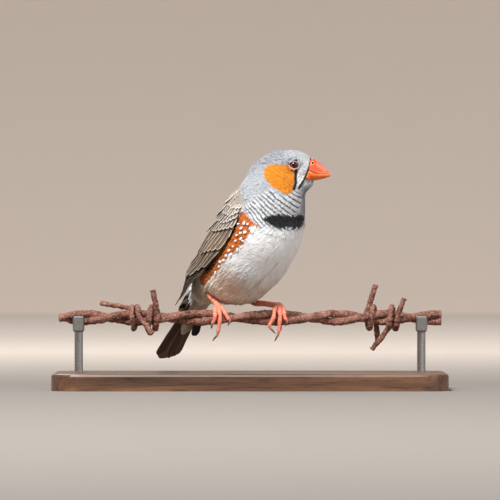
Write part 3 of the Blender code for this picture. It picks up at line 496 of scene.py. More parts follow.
def withJaw(piece):
    # adds the rounded rear corner of the jaw, which the head hides in the solids
    return joined(piece.name, piece, addedBall(mm, Vector(jaw["middle"]) * mm, jaw["half"]))


def lidRing(dx, dz):
    # the distance from the eye's middle, 1 on the oval of the lids
    lean = math.radians(eye["tilt"])
    return np.hypot((dx * math.cos(lean) + dz * math.sin(lean)) / lid["half"][0],
                    (dz * math.cos(lean) - dx * math.sin(lean)) / lid["half"][1])


def closeSockets(skin):
    # a smooth surface fitted to the head round each eye takes the place of the socket
    points, out = places(skin), normals(skin)
    reach = skinSizes["socket"]
    for side in (-1, 1):
        dx, dz = points[:, 0] - eye["x"], heightOf(points) - eye["height"]
        level, ring = side * (points[:, 1] - head["middleY"]), np.hypot(dx, dz)
        terms = np.stack((np.ones(len(dx)), dx, dz, dx * dx, dx * dz, dz * dz), axis=1)
        around = (ring > reach) & (ring < reach + 1.4) & (level > 1) & (side * out[:, 1] > 0.4)
        fitted = terms @ np.linalg.lstsq(terms[around], level[around], rcond=None)[0]
        fitted -= skinSizes["lidRoom"] * rise(reach, reach - 0.9, ring)
        share = rise(reach, reach - 0.6, ring) * (level > 0.8)
        points[:, 1] += side * (fitted - level) * share
    setPlaces(skin, points)


def billFilling():
    # a squeezed copy of the bill, which closes the skin in front
    filling = copiedNodes("billFill", ("bill_upper", "bill_lower"))
    points = places(filling)
    middle = headPoint(0, 0, skinSizes["billAxis"])
    share = interp(skinSizes["billShare"], points[:, 0])[:, None]
    points[:, 1:] = middle[1:] + (points[:, 1:] - middle[1:]) * share
    start = skinSizes["billStart"]
    points[:, 0] = np.minimum(points[:, 0], start + (points[:, 0] - start) * 0.6)
    setPlaces(filling, points)
    return filling


def fleshForm():
    # head, neck, trunk and the bill's filling as one closed surface
    filling = billFilling()
    skin = joined("skin", copiedNodes("skin", ("head", "neck", "torso")), filling)
    fill = skinSizes["filler"]
    filler = addedBall(fill["radius"] * mm, Vector(trunkAt(fill["along"], fill["back"]) * mm),
                       (1, 1, fill["length"] / fill["radius"]), axis=axisWay)
    applied(skin, "DISPLACE", strength=skinSizes["grow"] * mm, mid_level=0.0)
    joined("skin", skin, filler)
    applied(skin, "REMESH", mode="VOXEL", voxel_size=skinSizes["voxel"] * mm, use_smooth_shade=True)
    applied(skin, "SMOOTH", factor=0.5, iterations=skinSizes["smooth"])
    closeSockets(skin)
    return skin


def coatDepth(points):
    # how deep the skin lies, to leave room for the feathers
    headShare = rise(36, 44, heightOf(points))
    depth = skinSizes["bodyDepth"] + (skinSizes["headDepth"] - skinSizes["bodyDepth"]) * headShare
    nearFace = rise(9, 4, np.linalg.norm(points - headPoint(*skinSizes["face"]), axis=1))
    depth += (skinSizes["faceDepth"] - depth) * nearFace
    for spot in skinSizes["fuller"]:
        x, across, height = spot["place"]
        for side in (-1, 1):
            away = np.linalg.norm(points - headPoint(x, side * across, height), axis=1)
            depth -= spot["by"] * rise(spot["reach"], 0.25 * spot["reach"], away)
    return depth


def sinkBehindEyes(points):
    # the skin under the open eye lies behind the ball
    for side in (-1, 1):
        opening = lidRing(points[:, 0] - eye["x"] - eye["shift"][0],
                          heightOf(points) - eye["height"] - eye["shift"][2])
        level = side * (points[:, 1] - head["middleY"])
        points[:, 1] -= side * skinSizes["behindEye"] * rise(1.05, 0.8, opening) * (level > 0.8)


def keepInBill(points):
    # in front of the feather line the skin stays inside the bill
    horn = withJaw(copiedNodes("horn", ("bill_upper", "bill_lower")))
    faces = [tuple(f.vertices) for f in horn.data.polygons]
    tree = BVHTree.FromPolygons([tuple(p) for p in places(horn)], faces)
    deep = skinSizes["underBill"]
    for i in np.flatnonzero(inBill(points, 0.0)):
        near, way, _, distance = tree.find_nearest(points[i])
        if distance > deep or (Vector(points[i]) - near).dot(way) > 0:
            points[i] = near - way * deep
    bpy.data.objects.remove(horn, do_unlink=True)


def makeSkin():
    skin = fleshForm()
    points, out = places(skin), normals(skin)
    points = points - out * (coatDepth(points) + skinSizes["grow"])[:, None]
    sinkBehindEyes(points)
    keepInBill(points)
    setPlaces(skin, points)
    setColours(skin, coatColour(points) * skinSizes["shade"])
    setBars(skin, *barLines(points))
    select(skin)
    bpy.ops.object.mode_set(mode="EDIT")
    bpy.ops.mesh.select_all(action="SELECT")
    bpy.ops.uv.smart_project(angle_limit=math.radians(66), island_margin=0.004)
    bpy.ops.object.mode_set(mode="OBJECT")
    skin.data.uv_layers[0].name = "OFBake"
    return skin


def withBars(tree, tone):
    # dark lines where the piece's own attributes ask for them
    phase = added(tree, "Attribute", attribute_name="barPhase").outputs["Fac"]
    share = added(tree, "Attribute", attribute_name="barShare").outputs["Fac"]
    wave = maths(tree, "COSINE", maths(tree, "MULTIPLY", phase, 2 * math.pi))
    line = mapped(tree, wave, (0.15, 0.8), (0.0, 0.88), kind="SMOOTHSTEP")
    return maths(tree, "MULTIPLY", tone, maths(tree, "SUBTRACT", 1.0, maths(tree, "MULTIPLY", line, share)))


def featherMaterial(name, roughness=0.75, sheen=0.25, grain=3500.0, bump=0.15, barred=False):
    # colour from the piece's own attribute, with fine barbs as bump and a slight change of tone
    material, tree, shader = newMaterial(name)
    colour = added(tree, "Attribute", attribute_name="coat").outputs["Color"]
    fine = noise(tree, objectPlace(tree), grain, 4.0)
    tone = mapped(tree, fine, (0.3, 0.7), (0.92, 1.06))
    if barred:
        tone = withBars(tree, tone)
    toned = added(tree, "VectorMath", {0: colour, "Scale": tone}, operation="SCALE").outputs["Vector"]
    fed(tree, shader, {"Base Color": toned, "Normal": bumped(tree, fine, bump, 0.0002),
                       "Roughness": roughness, "Sheen Weight": sheen, "Specular IOR Level": 0.3})
    return material


# Coat: small feathers rooted on the skin, lying along the body

def layOfCoat(points, out):
    # the way the feathers point, along the skin
    along, angle, _ = bodyPlace(points)
    onHead = rise(*head["neckHeight"], heightOf(points))[:, None]
    fromBill = unit(points - headPoint(*head["billBase"]))
    radians = np.radians(angle)[:, None]
    towardsBack = (np.sin(radians) * backWay - np.cos(radians) * rightWay) * np.sign(angle)[:, None]
    share = 0.42 * rise(96, 130, np.abs(angle)) * rise(180, 155, np.abs(angle)) * rise(20, 12, along)
    onBody = unit(-axisWay + towardsBack * share[:, None])
    way = fromBill * onHead + onBody * (1 - onHead)
    return unit(way - out * np.sum(way * out, axis=1, keepdims=True))


class Surface:
    # the skin as arrays, for rooting feathers and keeping them along it
    def __init__(self, skin):
        mesh = skin.data
        mesh.calc_loop_triangles()
        count = len(mesh.loop_triangles)
        self.points = places(skin)
        corners, loops = np.empty(count * 3, np.int32), np.empty(count * 3, np.int32)
        mesh.loop_triangles.foreach_get("vertices", corners)
        mesh.loop_triangles.foreach_get("loops", loops)
        self.corners, self.loops = corners.reshape(-1, 3), loops.reshape(-1, 3)
        uv = np.empty(len(mesh.loops) * 2)
        mesh.uv_layers["OFBake"].data.foreach_get("uv", uv)
        self.uv = uv.reshape(-1, 2)
        triangles = [tuple(c) for c in self.corners.tolist()]
        self.tree = BVHTree.FromPolygons([tuple(p) for p in self.points], triangles)
        a, b, c = (self.points[self.corners[:, k]] for k in range(3))
        cross = np.cross(b - a, c - a)
        self.area = np.linalg.norm(cross, axis=1) / 2
        self.out = unit(cross)

    def roots(self, spacing, keep, crowd=2.6):
        # evenly scattered places on the part of the skin that keep() picks
        middle = self.points[self.corners].mean(axis=1)
        weight = self.area * keep(middle, self.out)
        count = int(weight.sum() / spacing**2 * crowd)
        chosen = rng.choice(len(weight), size=count, p=weight / weight.sum())
        u, v = rng.random(count), rng.random(count)
        over = u + v > 1
        u[over], v[over] = 1 - u[over], 1 - v[over]
        share = np.stack((1 - u - v, u, v), axis=1)[:, :, None]
        spots = (self.points[self.corners[chosen]] * share).sum(axis=1)
        uv = (self.uv[self.loops[chosen]] * share).sum(axis=1)
        cells = np.floor(spots / spacing + 0.37).astype(np.int64)
        _, first = np.unique(cells @ np.array((1, 4001, 16008001)), return_index=True)
        return spots[first], uv[first]

    def nearest(self, points):
        found = [self.tree.find_nearest(p) for p in points.tolist()]
        return np.array([f[0] for f in found]), np.array([f[1] for f in found])


def growFeathers(surface, name, spots, uv, look, tint=None):
    # small closed vanes from the skin: four sides and pointed at both ends
    count = len(spots)
    stations = np.array(look["stations"])
    widths = np.array(look["widths"])
    length = look["length"] * (1 + look["vary"] * rng.normal(size=count).clip(-2, 2))
    half = look["half"] * (1 + 0.18 * rng.normal(size=count).clip(-2, 2))
    turn = look["stray"] * rng.normal(size=count) + look["locks"] * waves(spots, look["lockSize"], 31)
    lift = look["rise"] * (1 + 0.35 * rng.normal(size=count).clip(-2, 2))
    here, out = surface.nearest(spots)
    rows, sideways, up = [here], [], []
    for step in range(len(stations)):
        way = layOfCoat(here, out)
        side = np.cross(out, way)
        way = way * np.cos(turn)[:, None] + side * np.sin(turn)[:, None]
        sideways.append(np.cross(out, way))
        up.append(out)
        if step + 1 < len(stations):
            move = (stations[step + 1] - stations[step]) * length
            here, out = surface.nearest(here + way * move[:, None])
            rows.append(here)
    last = len(stations) - 1
    points = np.empty((count, 4 * (last - 1) + 2, 3))
    points[:, 0] = rows[0] - up[0] * look["sink"]
    for k in range(1, last):
        raised = (look["bed"] + lift * stations[k] ** 1.2)[:, None]
        middle = rows[k] + up[k] * raised
        reach = (half * widths[k])[:, None] * sideways[k]
        droop = up[k] * (half * widths[k] * look["arch"])[:, None]
        at = 1 + 4 * (k - 1)
        points[:, at] = middle - reach - droop
        points[:, at + 1] = middle + up[k] * look["thick"] / 2
        points[:, at + 2] = middle + reach - droop
        points[:, at + 3] = middle - up[k] * look["thick"] / 2 - droop
    points[:, -1] = rows[last] + up[last] * (look["bed"] + lift)[:, None]
    size = points.shape[1]
    shape = []
    for j in range(4):
        shape.append((0, 1 + (j + 1) % 4, 1 + j))
        for k in range(last - 2):
            a, b = 1 + 4 * k + j, 1 + 4 * k + (j + 1) % 4
            shape += [(a, b, b + 4), (a, b + 4, a + 4)]
        end = 1 + 4 * (last - 2)
        shape.append((size - 1, end + j, end + (j + 1) % 4))
    shape = np.array(shape)
    triangles = (shape[None] + (np.arange(count) * size)[:, None, None]).reshape(-1, 3)
    flat = points.reshape(-1, 3)
    kinds = np.tile(np.array([3] + [1, 0, 2, 0] * (last - 1) + [3]), count)
    where = np.zeros((size, 2))
    for k in range(1, last):
        at = 1 + 4 * (k - 1)
        where[at:at + 4, 1] = stations[k]
        where[at, 0], where[at + 2, 0] = -0.5, 0.5
    where[-1, 1] = 1.0
    bakeUv = (uv[:, None] + where[None] * (0.0028, 0.0028) - (0, 0.0014)).reshape(-1, 2).clip(0, 1)
    strayed = flat + np.repeat(rng.normal(size=(count, 3)) * look["feathered"], size, axis=0)
    painted = coatColour(strayed) if tint is None else tint
    tone = 1 + look["tone"] * rng.normal(size=count).clip(-2, 2)
    fleckSize, fleckFrom, fleckTone = look["flecks"]
    flecked = waves(spots, fleckSize, 37) + 0.35 * rng.normal(size=count) > fleckFrom
    flecked &= ~inside(marks["lore"], spots[:, 0], heightOf(spots))
    tone = np.repeat(np.where(flecked, tone * fleckTone, tone), size)
    depth = np.tile(look["rootShade"] + (1 - look["rootShade"]) * where[:, 1] ** 0.8, count)
    painted = painted * (tone * depth)[:, None]
    piece = meshFrom(name, flat, triangles, painted, kinds, bakeUv)
    phase, share = barLines(flat)
    setBars(piece, phase + np.repeat(0.05 * rng.normal(size=count), size), share)
    return piece


# Sizes of one feather in millimetres: flecks are their patch size, how rare they are and their tone.
short = dict(stations=(0, 0.4, 0.75, 1), widths=(0, 0.95, 0.9, 0), arch=0.35, thick=0.07, sink=0.12, bed=0.02,
             vary=0.15, stray=0.14, locks=0.10, lockSize=4.0, feathered=0.07, tone=0.07, rootShade=0.7,
             flecks=(1.5, 9, 1))
longer = dict(short, stations=(0, 0.3, 0.6, 0.85, 1), widths=(0, 0.9, 1.0, 0.75, 0), thick=0.09, sink=0.2,
              bed=0.05, stray=0.11, locks=0.16, lockSize=6.0, feathered=0.12)
coat = [
    dict(short, name="coatFace", spacing=0.25, length=1.1, half=0.19, rise=0.2, feathered=0.03, stray=0.08,
         tone=0.10, flecks=(0.75, 0.5, 0.76)),
    dict(short, name="coatCrown", spacing=0.35, length=1.7, half=0.24, rise=0.34, tone=0.1,
         flecks=(0.75, 0.38, 0.66)),
    dict(short, name="coatCheeks", spacing=0.33, length=1.6, half=0.24, rise=0.32, flecks=(0.8, 0.8, 0.9)),
    dict(short, name="coatThroat", spacing=0.36, length=1.8, half=0.28, rise=0.34, feathered=0.05, tone=0.04),
    dict(longer, name="coatNeck", spacing=0.46, length=2.8, half=0.38, rise=0.3, arch=0.2, feathered=0.06,
         tone=0.05, flecks=(1.5, 0.9, 0.84)),
    dict(longer, name="coatBreast", spacing=0.42, length=5.0, half=0.5, rise=0.2, bed=0.1, thick=0.04,
         arch=0.08, stray=0.05, tone=0.03, rootShade=0.94, locks=0.06),
    dict(longer, name="coatBelly", spacing=0.48, length=5.8, half=0.34, rise=0.42, bed=0.1, thick=0.06,
         arch=0.2, stray=0.07, tone=0.035, rootShade=0.9),
    dict(longer, name="coatVent", spacing=0.55, length=5.6, half=0.38, rise=0.7, tone=0.05, rootShade=0.8),
    dict(longer, name="coatFlank", spacing=0.50, length=3.0, half=0.40, rise=0.5, feathered=0.05),
    dict(longer, name="coatMantle", spacing=0.58, length=3.2, half=0.55, rise=0.4, arch=0.2, locks=0.05,
         feathered=0.06, flecks=(1.5, 0.9, 0.84)),
    dict(longer, name="coatRump", spacing=0.60, length=4.6, half=0.5, rise=0.8),
]
spotLook = dict(longer, stations=(0, 0.2, 0.5, 0.85, 1), widths=(0, 0.7, 1.0, 0.8, 0), length=1.25, half=0.47,
                rise=0.1, bed=0.85, vary=0.2, stray=0.3, tone=0.02, rootShade=0.97, arch=0.1)
spotRadius = 15.5


def coatRegion(points):
    # the name of the coat piece that each place belongs to
    height = heightOf(points)
    along, angle, _ = bodyPlace(points)
    angle = np.abs(angle)
    wider = [(a + (0.5 if a > 0 else -0.5), p + (1 if p > 60 else 0)) for a, p in marks["flank"]]
    flankSide = inside(wider, along, angle)
    rules = (
        ("coatFace", (height > 45) & (points[:, 0] > 12.6)),
        ("coatCrown", (height > 47) & (height > 54.5 - 0.12 * (points[:, 0] - 5))),
        ("coatCheeks", height > 42.5),
        ("coatThroat", (height > 36) & (points[:, 0] > 9)),
        ("coatFlank", flankSide & (along < 19)),
        ("coatNeck", (along > 18.6) | ((angle < 60) & (along > 17))),
        ("coatBreast", (along > 6) & (angle > 88)),
        ("coatBelly", (along > -9) & (angle > 88)),
        ("coatVent", angle > 82),
        ("coatMantle", along > -14),
        ("coatRump", along > -60),
    )
    names = np.full(len(points), "", dtype="U12")
    for name, where in rules:
        names[(names == "") & where] = name
    return names


def bare(points, out):
    # places that carry no feathers: eyes, the seat of the bill, the legs' sockets and under the wings
    height = heightOf(points)
    along, angle, _ = bodyPlace(points)
    angle = np.abs(angle)
    fromMiddle = unit(points - headPoint(*head["middle"]))
    pocket = (height > 45) & (points[:, 0] > 14) & (np.sum(out * fromMiddle, axis=1) < 0.0)
    none = (pocket & (points[:, 0] < 17.5)) | inBill(points, 0.12)
    for side in (-1, 1):
        ring = points - eyeMiddle(side)
        none |= np.hypot((ring[:, 0] + 0.2) / 1.68, (ring[:, 2] + 0.25) / 1.26) < 1
    for leg in legs.values():
        start, end = overWire(*leg["ankle"]), overWire(*leg[leg["bareTo"]])
        t = np.clip((points - start) @ (end - start) / np.sum((end - start)**2), 0, 1)
        none |= np.linalg.norm(points - start - t[:, None] * (end - start), axis=1) < 1.5
    wingEdge = curveThrough(wing["outline"], 2, along.clip(-30, 18.5))
    none |= (along > -30) & (along < 17) & (angle > 44) & (angle < wingEdge - 4)
    return none


def makeCoat(skin):
    surface = Surface(skin)
    pieces = []
    for look in coat:
        def keep(points, out):
            return (coatRegion(points) == look["name"]) & ~bare(points, out)
        spots, uv = surface.roots(look["spacing"], keep)
        piece = growFeathers(surface, look["name"], spots, uv, look)
        print(look["name"], len(spots), "feathers,", len(piece.data.polygons), "triangles")
        pieces.append(piece)
    starts = []
    for side in (1, -1):
        for along, angle in marks["spots"]:
            t = math.radians(angle)
            starts.append(trunkAt(along, spotRadius * math.cos(t) - 0.5, side * spotRadius * math.sin(t)))
    starts, _ = surface.nearest(np.array(starts))
    uv = np.full((len(starts), 2), 0.5)
    pieces.append(growFeathers(surface, "flankSpots", starts, uv, spotLook, tint=colours["white"]))
    return pieces


# Flight feathers: fine vanes in tiers on the folded wing's own sheet

wing = {
    "sheet": ((-41.5, 6.4, 7.6), (-30.0, 3.7, 10.5), (-26.6, 2.8, 11.7), (-21.6, 1.8, 13.6),
              (-12.0, 0.1, 14.6), (-4.0, -0.5, 15.4), (5.0, -0.7, 15.4), (12.0, -0.2, 15.0),
              (19.0, 1.1, 13.9)),  # A, the distance behind the trunk's line, and the radius
    "outline": ((-38.5, 42.0, 50.0), (-35.0, 37.0, 60.0), (-31.6, 34.0, 69.0), (-26.0, 32.0, 77.0),
                (-18.0, 32.0, 83.0), (-11.0, 34.0, 88.0), (-4.0, 34.0, 92.0), (6.0, 34.0, 96.0),
                (12.0, 36.0, 96.0), (18.5, 40.0, 90.0)),  # A, and the angles of the upper and lower edge
    "tipShares": (0.0, 0.25, 0.5, 1.0), "thick": 0.2,
    "columns": (-1, -0.94, -0.82, -0.5, -0.08, 0, 0.08, 0.5, 0.82, 0.94, 1),
}
covert, scapular = dict(count=10, margin=0.46), dict(count=6, start=0.84, tilt=0.2, margin=0.5)
tiers = {
    "primaries": dict(
        count=9, root=(1.0, -4.0), tips=(-38.3, -37.0, -34.0, -27.0), half=1.5, lift=(-0.9, -0.1), tilt=0.34,
        reach=0.62, margin=0.08, dark=0.7, centre=paint(46, 37, 31), pale=paint(156, 136, 114)),
    "secondaries": dict(
        count=8, root=(5.0, 3.0), tips=(-10.5, -17.5, -24.4, -18.5), half=1.8, lift=(-0.5, 0.2), tilt=0.36,
        margin=0.17, dark=0.5, centre=paint(128, 107, 88), pale=paint(220, 204, 182)),
    "greaterCoverts": dict(
        count=9, root=(12.0, 8.0), tips=(0.5, -4.5, -8.6, -12.6), half=1.5, lift=(-0.4, 0.52), tilt=0.34,
        margin=0.24, dark=0.6, centre=paint(164, 136, 112), pale=paint(230, 217, 200)),
    "medianCoverts": dict(
        covert, root=(15.8, 13.0), tips=(11.5, 6.6, 3.4, -1.4), half=1.4, lift=(-0.5, 0.76), tilt=0.3,
        dark=0.8, centre=paint(126, 110, 97), pale=paint(226, 217, 207)),
    "lesserCovertsLow": dict(
        covert, root=(17.2, 15.8), tips=(14.6, 10.4, 7.4, 4.0), half=1.3, lift=(-0.4, 0.88), tilt=0.28,
        dark=0.85, centre=paint(138, 123, 111), pale=paint(228, 220, 211)),
    "lesserCovertsMid": dict(
        covert, root=(19.0, 18.2), tips=(16.5, 13.4, 11.0, 8.4), half=1.2, lift=(-0.3, 0.96), tilt=0.26,
        centre=paint(156, 142, 130), pale=paint(230, 222, 213)),
    "lesserCovertsTop": dict(
        covert, root=(20.4, 20.4), tips=(18.2, 16.2, 14.4, 12.6), half=1.15, lift=(-0.3, 0.94), tilt=0.24,
        centre=paint(172, 160, 148), pale=paint(230, 223, 215)),
    "scapularsLow": dict(
        scapular, root=(10.0, 7.0), tips=(1.5, 0.0, -2.0, -4.0), half=1.7, lift=(-0.2, 1.35), reach=1.12,
        centre=paint(172, 150, 130), pale=paint(222, 210, 194)),
    "scapularsMid": dict(
        scapular, root=(15.5, 13.0), tips=(8.0, 6.8, 5.6, 4.0), half=1.6, lift=(-0.2, 1.4), reach=1.14,
        centre=paint(176, 156, 138), pale=paint(224, 213, 199)),
    "scapularsHigh": dict(
        scapular, root=(20.5, 19.0), tips=(14.0, 13.0, 12.0, 11.0), half=1.5, lift=(-0.3, 1.3), start=0.8,
        reach=1.16, centre=paint(186, 170, 155), pale=paint(226, 217, 206)),
}


def curveThrough(rows, column, where):
    # one column of the rows as a smooth curve
    xs, ys = np.array([r[0] for r in rows]), np.array([r[column] for r in rows])
    slopes = np.gradient(ys, xs)
    where = np.asarray(where, float)
    i = np.clip(np.searchsorted(xs, where) - 1, 0, len(xs) - 2)
    step = xs[i + 1] - xs[i]
    t = np.clip((where - xs[i]) / step, 0, 1)
    return ((2 * t**3 - 3 * t**2 + 1) * ys[i] + (t**3 - 2 * t**2 + t) * step * slopes[i]
            + (3 * t**2 - 2 * t**3) * ys[i + 1] + (t**3 - t**2) * step * slopes[i + 1])


def sheetPoints(along, angle, lift, side):
    offset = curveThrough(wing["sheet"], 1, along)
    radius = curveThrough(wing["sheet"], 2, along) + lift
    t = np.radians(angle)
    return (trunkPoint + along[:, None] * axisWay + (offset + radius * np.cos(t))[:, None] * backWay
            + (side * radius * np.sin(t))[:, None] * rightWay)


def vaneStations(length, half, count=15):
    # places along a feather, closer together at its rounded tip, with its width there
    tip = min(0.5, 1.5 * half / length)
    body = np.linspace(0, 1 - tip, count - 6)
    end = 1 - tip + tip * np.sin(np.linspace(0, math.pi / 2, 7))[1:]
    where = np.concatenate((body, end))
    width = 0.55 + 0.45 * rise(0, 0.35, where)
    rounded = np.sqrt(np.clip(1 - ((where - 1 + tip) / tip).clip(0, 1)**2, 0, 1))
    return where, width * np.maximum(rounded, 0.06)


def vane(path, across, out, half, widths, where, tilt, tier, cell):
    # one closed feather: points, triangles, colours and its two maps
    ks = np.array(wing["columns"])
    rows, columns = len(path), len(ks)
    reach = (half * widths)[:, None] * ks[None]
    ragged = 0.06 * rng.normal(size=(rows, columns)) * (np.abs(ks) > 0.9) * (widths > 0.2)[:, None]
    ridge = 0.05 * (np.abs(ks) < 0.05) + 0.10 * (1 - ks**2)
    raised = tilt * ks[None] * widths[:, None] + ridge[None] * half / 2
    top = path[:, None] + across[:, None] * (reach + ragged)[..., None] + out[:, None] * raised[..., None]
    thin = wing["thick"] * (1 - 0.5 * where)[:, None] * (1 - 0.55 * np.abs(ks))[None]
    bottom = top - out[:, None] * np.maximum(thin, 0.05)[..., None]
    points = np.concatenate((top.reshape(-1, 3), bottom.reshape(-1, 3)))
    grid = np.arange(rows * columns).reshape(rows, columns)
    a, b, c, d = grid[:-1, :-1].ravel(), grid[:-1, 1:].ravel(), grid[1:, 1:].ravel(), grid[1:, :-1].ravel()
    upper = np.concatenate((np.stack((a, b, c), 1), np.stack((a, c, d), 1)))
    n = rows * columns
    lower = upper[:, ::-1] + n
    ring = np.concatenate((grid[0, :-1], grid[:-1, -1], grid[-1, :0:-1], grid[:0:-1, 0]))
    after = np.roll(ring, -1)
    sides = np.concatenate((np.stack((ring, ring + n, after + n), 1), np.stack((ring, after + n, after), 1)))
    triangles = np.concatenate((upper, lower, sides))
    facing = np.dot(np.cross(points[b[0]] - points[a[0]], points[c[0]] - points[a[0]]), out[0])
    if facing < 0:
        triangles = triangles[:, ::-1]
    ss, kk = np.meshgrid(where, ks, indexing="ij")
    length = np.linalg.norm(np.diff(path, axis=0), axis=1).sum()
    fromEdge = np.minimum((1 - np.abs(kk)) * half * widths[:, None], (1 - ss) * length * 0.8)
    margin = rise(tier["margin"] * 1.3, tier["margin"] * 0.5, fromEdge).ravel()
    tone = 1 + 0.06 * rng.normal() + 0.05 * np.sin(kk * 9 + ss * 40).ravel()
    shaft = (np.abs(kk) < 0.04).ravel() * 0.45
    under = (kk < 0).ravel() * 0.12
    colour = mix(tier["centre"] * (tone * (1 - shaft - under))[:, None], tier["pale"], margin)
    if "bars" in tier:
        turns = (ss * length - 0.5 * np.abs(kk) * half) / tier["bars"]
        bar = rise(-0.2, 0.2, np.cos(2 * math.pi * turns)).ravel()
        colour = mix(colour, tier["second"], bar)
    colour = np.concatenate((colour, colour * tier.get("underside", 0.8)))
    plain = np.stack(((kk + 1).ravel() / 2, (ss * length / 20).ravel()), axis=1)
    plain = np.concatenate((plain, plain))
    cellX, cellY, cellSize = cell
    patch = np.stack(((kk + 1).ravel() * 0.23, ss.ravel() * 0.94), axis=1)
    bake = np.concatenate((patch + 0.02, patch + (0.52, 0.02))) * cellSize + (cellX, cellY)
    kinds = np.zeros((rows, columns), np.int32)
    kinds[0], kinds[-1], kinds[:, 0], kinds[:, -1] = 1, 1, 1, 1
    kinds = np.concatenate((kinds.ravel(), kinds.ravel() * 2))
    return points, triangles, colour, kinds, plain, bake


def joinedVanes(name, vanes):
    starts = np.cumsum([0] + [len(made[0]) for made in vanes])
    points, triangles, colour, kinds, plain, bake = (list(column) for column in zip(*vanes))
    triangles = np.concatenate([t + start for t, start in zip(triangles, starts)])
    piece = meshFrom(name, np.concatenate(points), triangles, np.concatenate(colour), np.concatenate(kinds),
                     np.concatenate(bake))
    layer = piece.data.uv_layers.new(name="vane")
    layer.data.foreach_set("uv", np.concatenate(plain)[triangles.ravel()].ravel())
    return piece


def cellOf(i, across=8):
    return (i % across) / across, (i // across) / across, 1 / across


def wingAngles(along, share, half):
    upper, lower = (curveThrough(wing["outline"], column, along) for column in (1, 2))
    margin = np.degrees(half / curveThrough(wing["sheet"], 2, along))
    kept = lower - margin - share * (lower - upper - 2 * margin)
    return np.where(lower - upper < 2 * margin, (lower + upper) / 2, kept)


def makeWing(name, side):
    made = []
    for tier in tiers.values():
        for i in range(tier["count"]):
            share = i / (tier["count"] - 1)
            root = tier["root"][0] + (tier["root"][1] - tier["root"][0]) * share + rng.uniform(-0.3, 0.3)
            tip = np.interp(share, wing["tipShares"], tier["tips"]) + rng.uniform(-0.4, 0.4)
            half = tier["half"] * rng.uniform(0.94, 1.06)
            where, widths = vaneStations(abs(tip - root), half)
            along = root + (tip - root) * where
            start = tier.get("start", 0)
            fan = start + share * (tier.get("reach", 1) - start)
            angle = wingAngles(along, fan, half) + rng.uniform(-1.0, 1.0) * where
            lift = tier["lift"][0] + (tier["lift"][1] - tier["lift"][0]) * where**0.7 + 0.04 * math.sin(3 * i)
            here = sheetPoints(along, angle, lift, side)
            across = unit(sheetPoints(along, angle + 4, lift, side) - here)
            out = unit(sheetPoints(along, angle, lift + 1, side) - here)
            shaded = dict(tier, centre=tier["centre"] * (tier.get("dark", 1) * (1 - share) + share))
            made.append(vane(here, across, out, half, widths, where, tier["tilt"], shaded, cellOf(len(made))))
    return joinedVanes(name, made)


tail = {
    "root": (-31.0, 9.9), "tip": (-62.4, 9.2), "shift": -0.7, "rootHalf": 1.6, "spread": 5.9, "count": 12,
    "half": 1.75, "shorter": 2.4, "drop": 0.9, "tilt": 0.28,
    "feather": dict(margin=0.25, centre=paint(84, 68, 55), pale=paint(136, 114, 92), underside=0.95),
}
tailCoverts = {
    "upper": dict(
        count=9, root=(-29.0, 10.9), tip=(-44.0, 10.2), spread=(2.6, 3.0), shift=0.1, shorter=3.4, half=1.5,
        level=0.42, drop=0.5, tilt=0.2, bars=4.4, margin=0.1, centre=paint(236, 236, 234),
        pale=paint(240, 240, 238), second=paint(26, 25, 26)),
    "under": dict(
        count=9, root=(-27.0, 6.6), tip=(-48.4, 7.2), spread=(2.6, 1.8), shift=-0.4, shorter=4.5, half=1.7,
        level=-0.4, drop=-0.45, tilt=-0.2, margin=0.3, centre=paint(226, 214, 186),
        pale=paint(240, 232, 214)),
    "side": dict(
        count=2, root=(-30.6, 8.0), tip=(-48.0, 4.9), spread=(0.4, 0.3), shift=-0.8, tipShift=-3.7,
        shorter=1.0, half=1.6, level=-0.1, drop=0.1, tilt=-0.1, margin=0.1, centre=paint(30, 28, 30),
        pale=paint(52, 48, 48)),
}


def tailVane(root, tip, half, level, tilt, tier, cell):
    root, tip = np.array(root), np.array(tip)
    start, end = trunkAt(*root), trunkAt(*tip)
    right = unit(rightWay - unit(end - start) * np.dot(rightWay, unit(end - start)))
    up = unit(np.cross(right, end - start))
    up = up if np.dot(up, backWay) > 0 else -up
    where, widths = vaneStations(np.linalg.norm(end - start), half)
    path = start + (end - start) * where[:, None] + up * (level + 0.25 * np.sin(where * math.pi))[:, None]
    right, up = np.tile(right, (len(path), 1)), np.tile(up, (len(path), 1))
    return vane(path, right, up, half, widths, where, tilt, tier, cell)


def makeTail():
    made = []
    for i in range(tail["count"]):
        k = 2 * i / (tail["count"] - 1) - 1
        level = -tail["drop"] * abs(k) + 0.13 * (k > 0) + 0.05 * math.sin(5 * i)
        root = (*tail["root"], tail["rootHalf"] * k + tail["shift"])
        tip = (tail["tip"][0] + tail["shorter"] * k**2 + rng.uniform(-0.3, 0.3), tail["tip"][1],
               (tail["spread"] - tail["rootHalf"]) * k + tail["shift"])
        tilt = tail["tilt"] * np.sign(k)
        made.append(tailVane(root, tip, tail["half"], level, tilt, tail["feather"], cellOf(len(made))))
    for row in tailCoverts.values():
        for i in range(row["count"]):
            k = 2 * i / (row["count"] - 1) - 1
            level = row["level"] - row["drop"] * abs(k) + 0.05 * (i - 4)
            root = (*row["root"], row["spread"][0] * k + row["shift"])
            tip = (row["tip"][0] + row["shorter"] * abs(k)**1.3, row["tip"][1],
                   row["spread"][1] * k + row.get("tipShift", row["shift"]))
            tilt = row["tilt"] * np.sign(k)
            made.append(tailVane(root, tip, row["half"], level, tilt, row, cellOf(len(made))))
    return joinedVanes("tailFeathers", made)


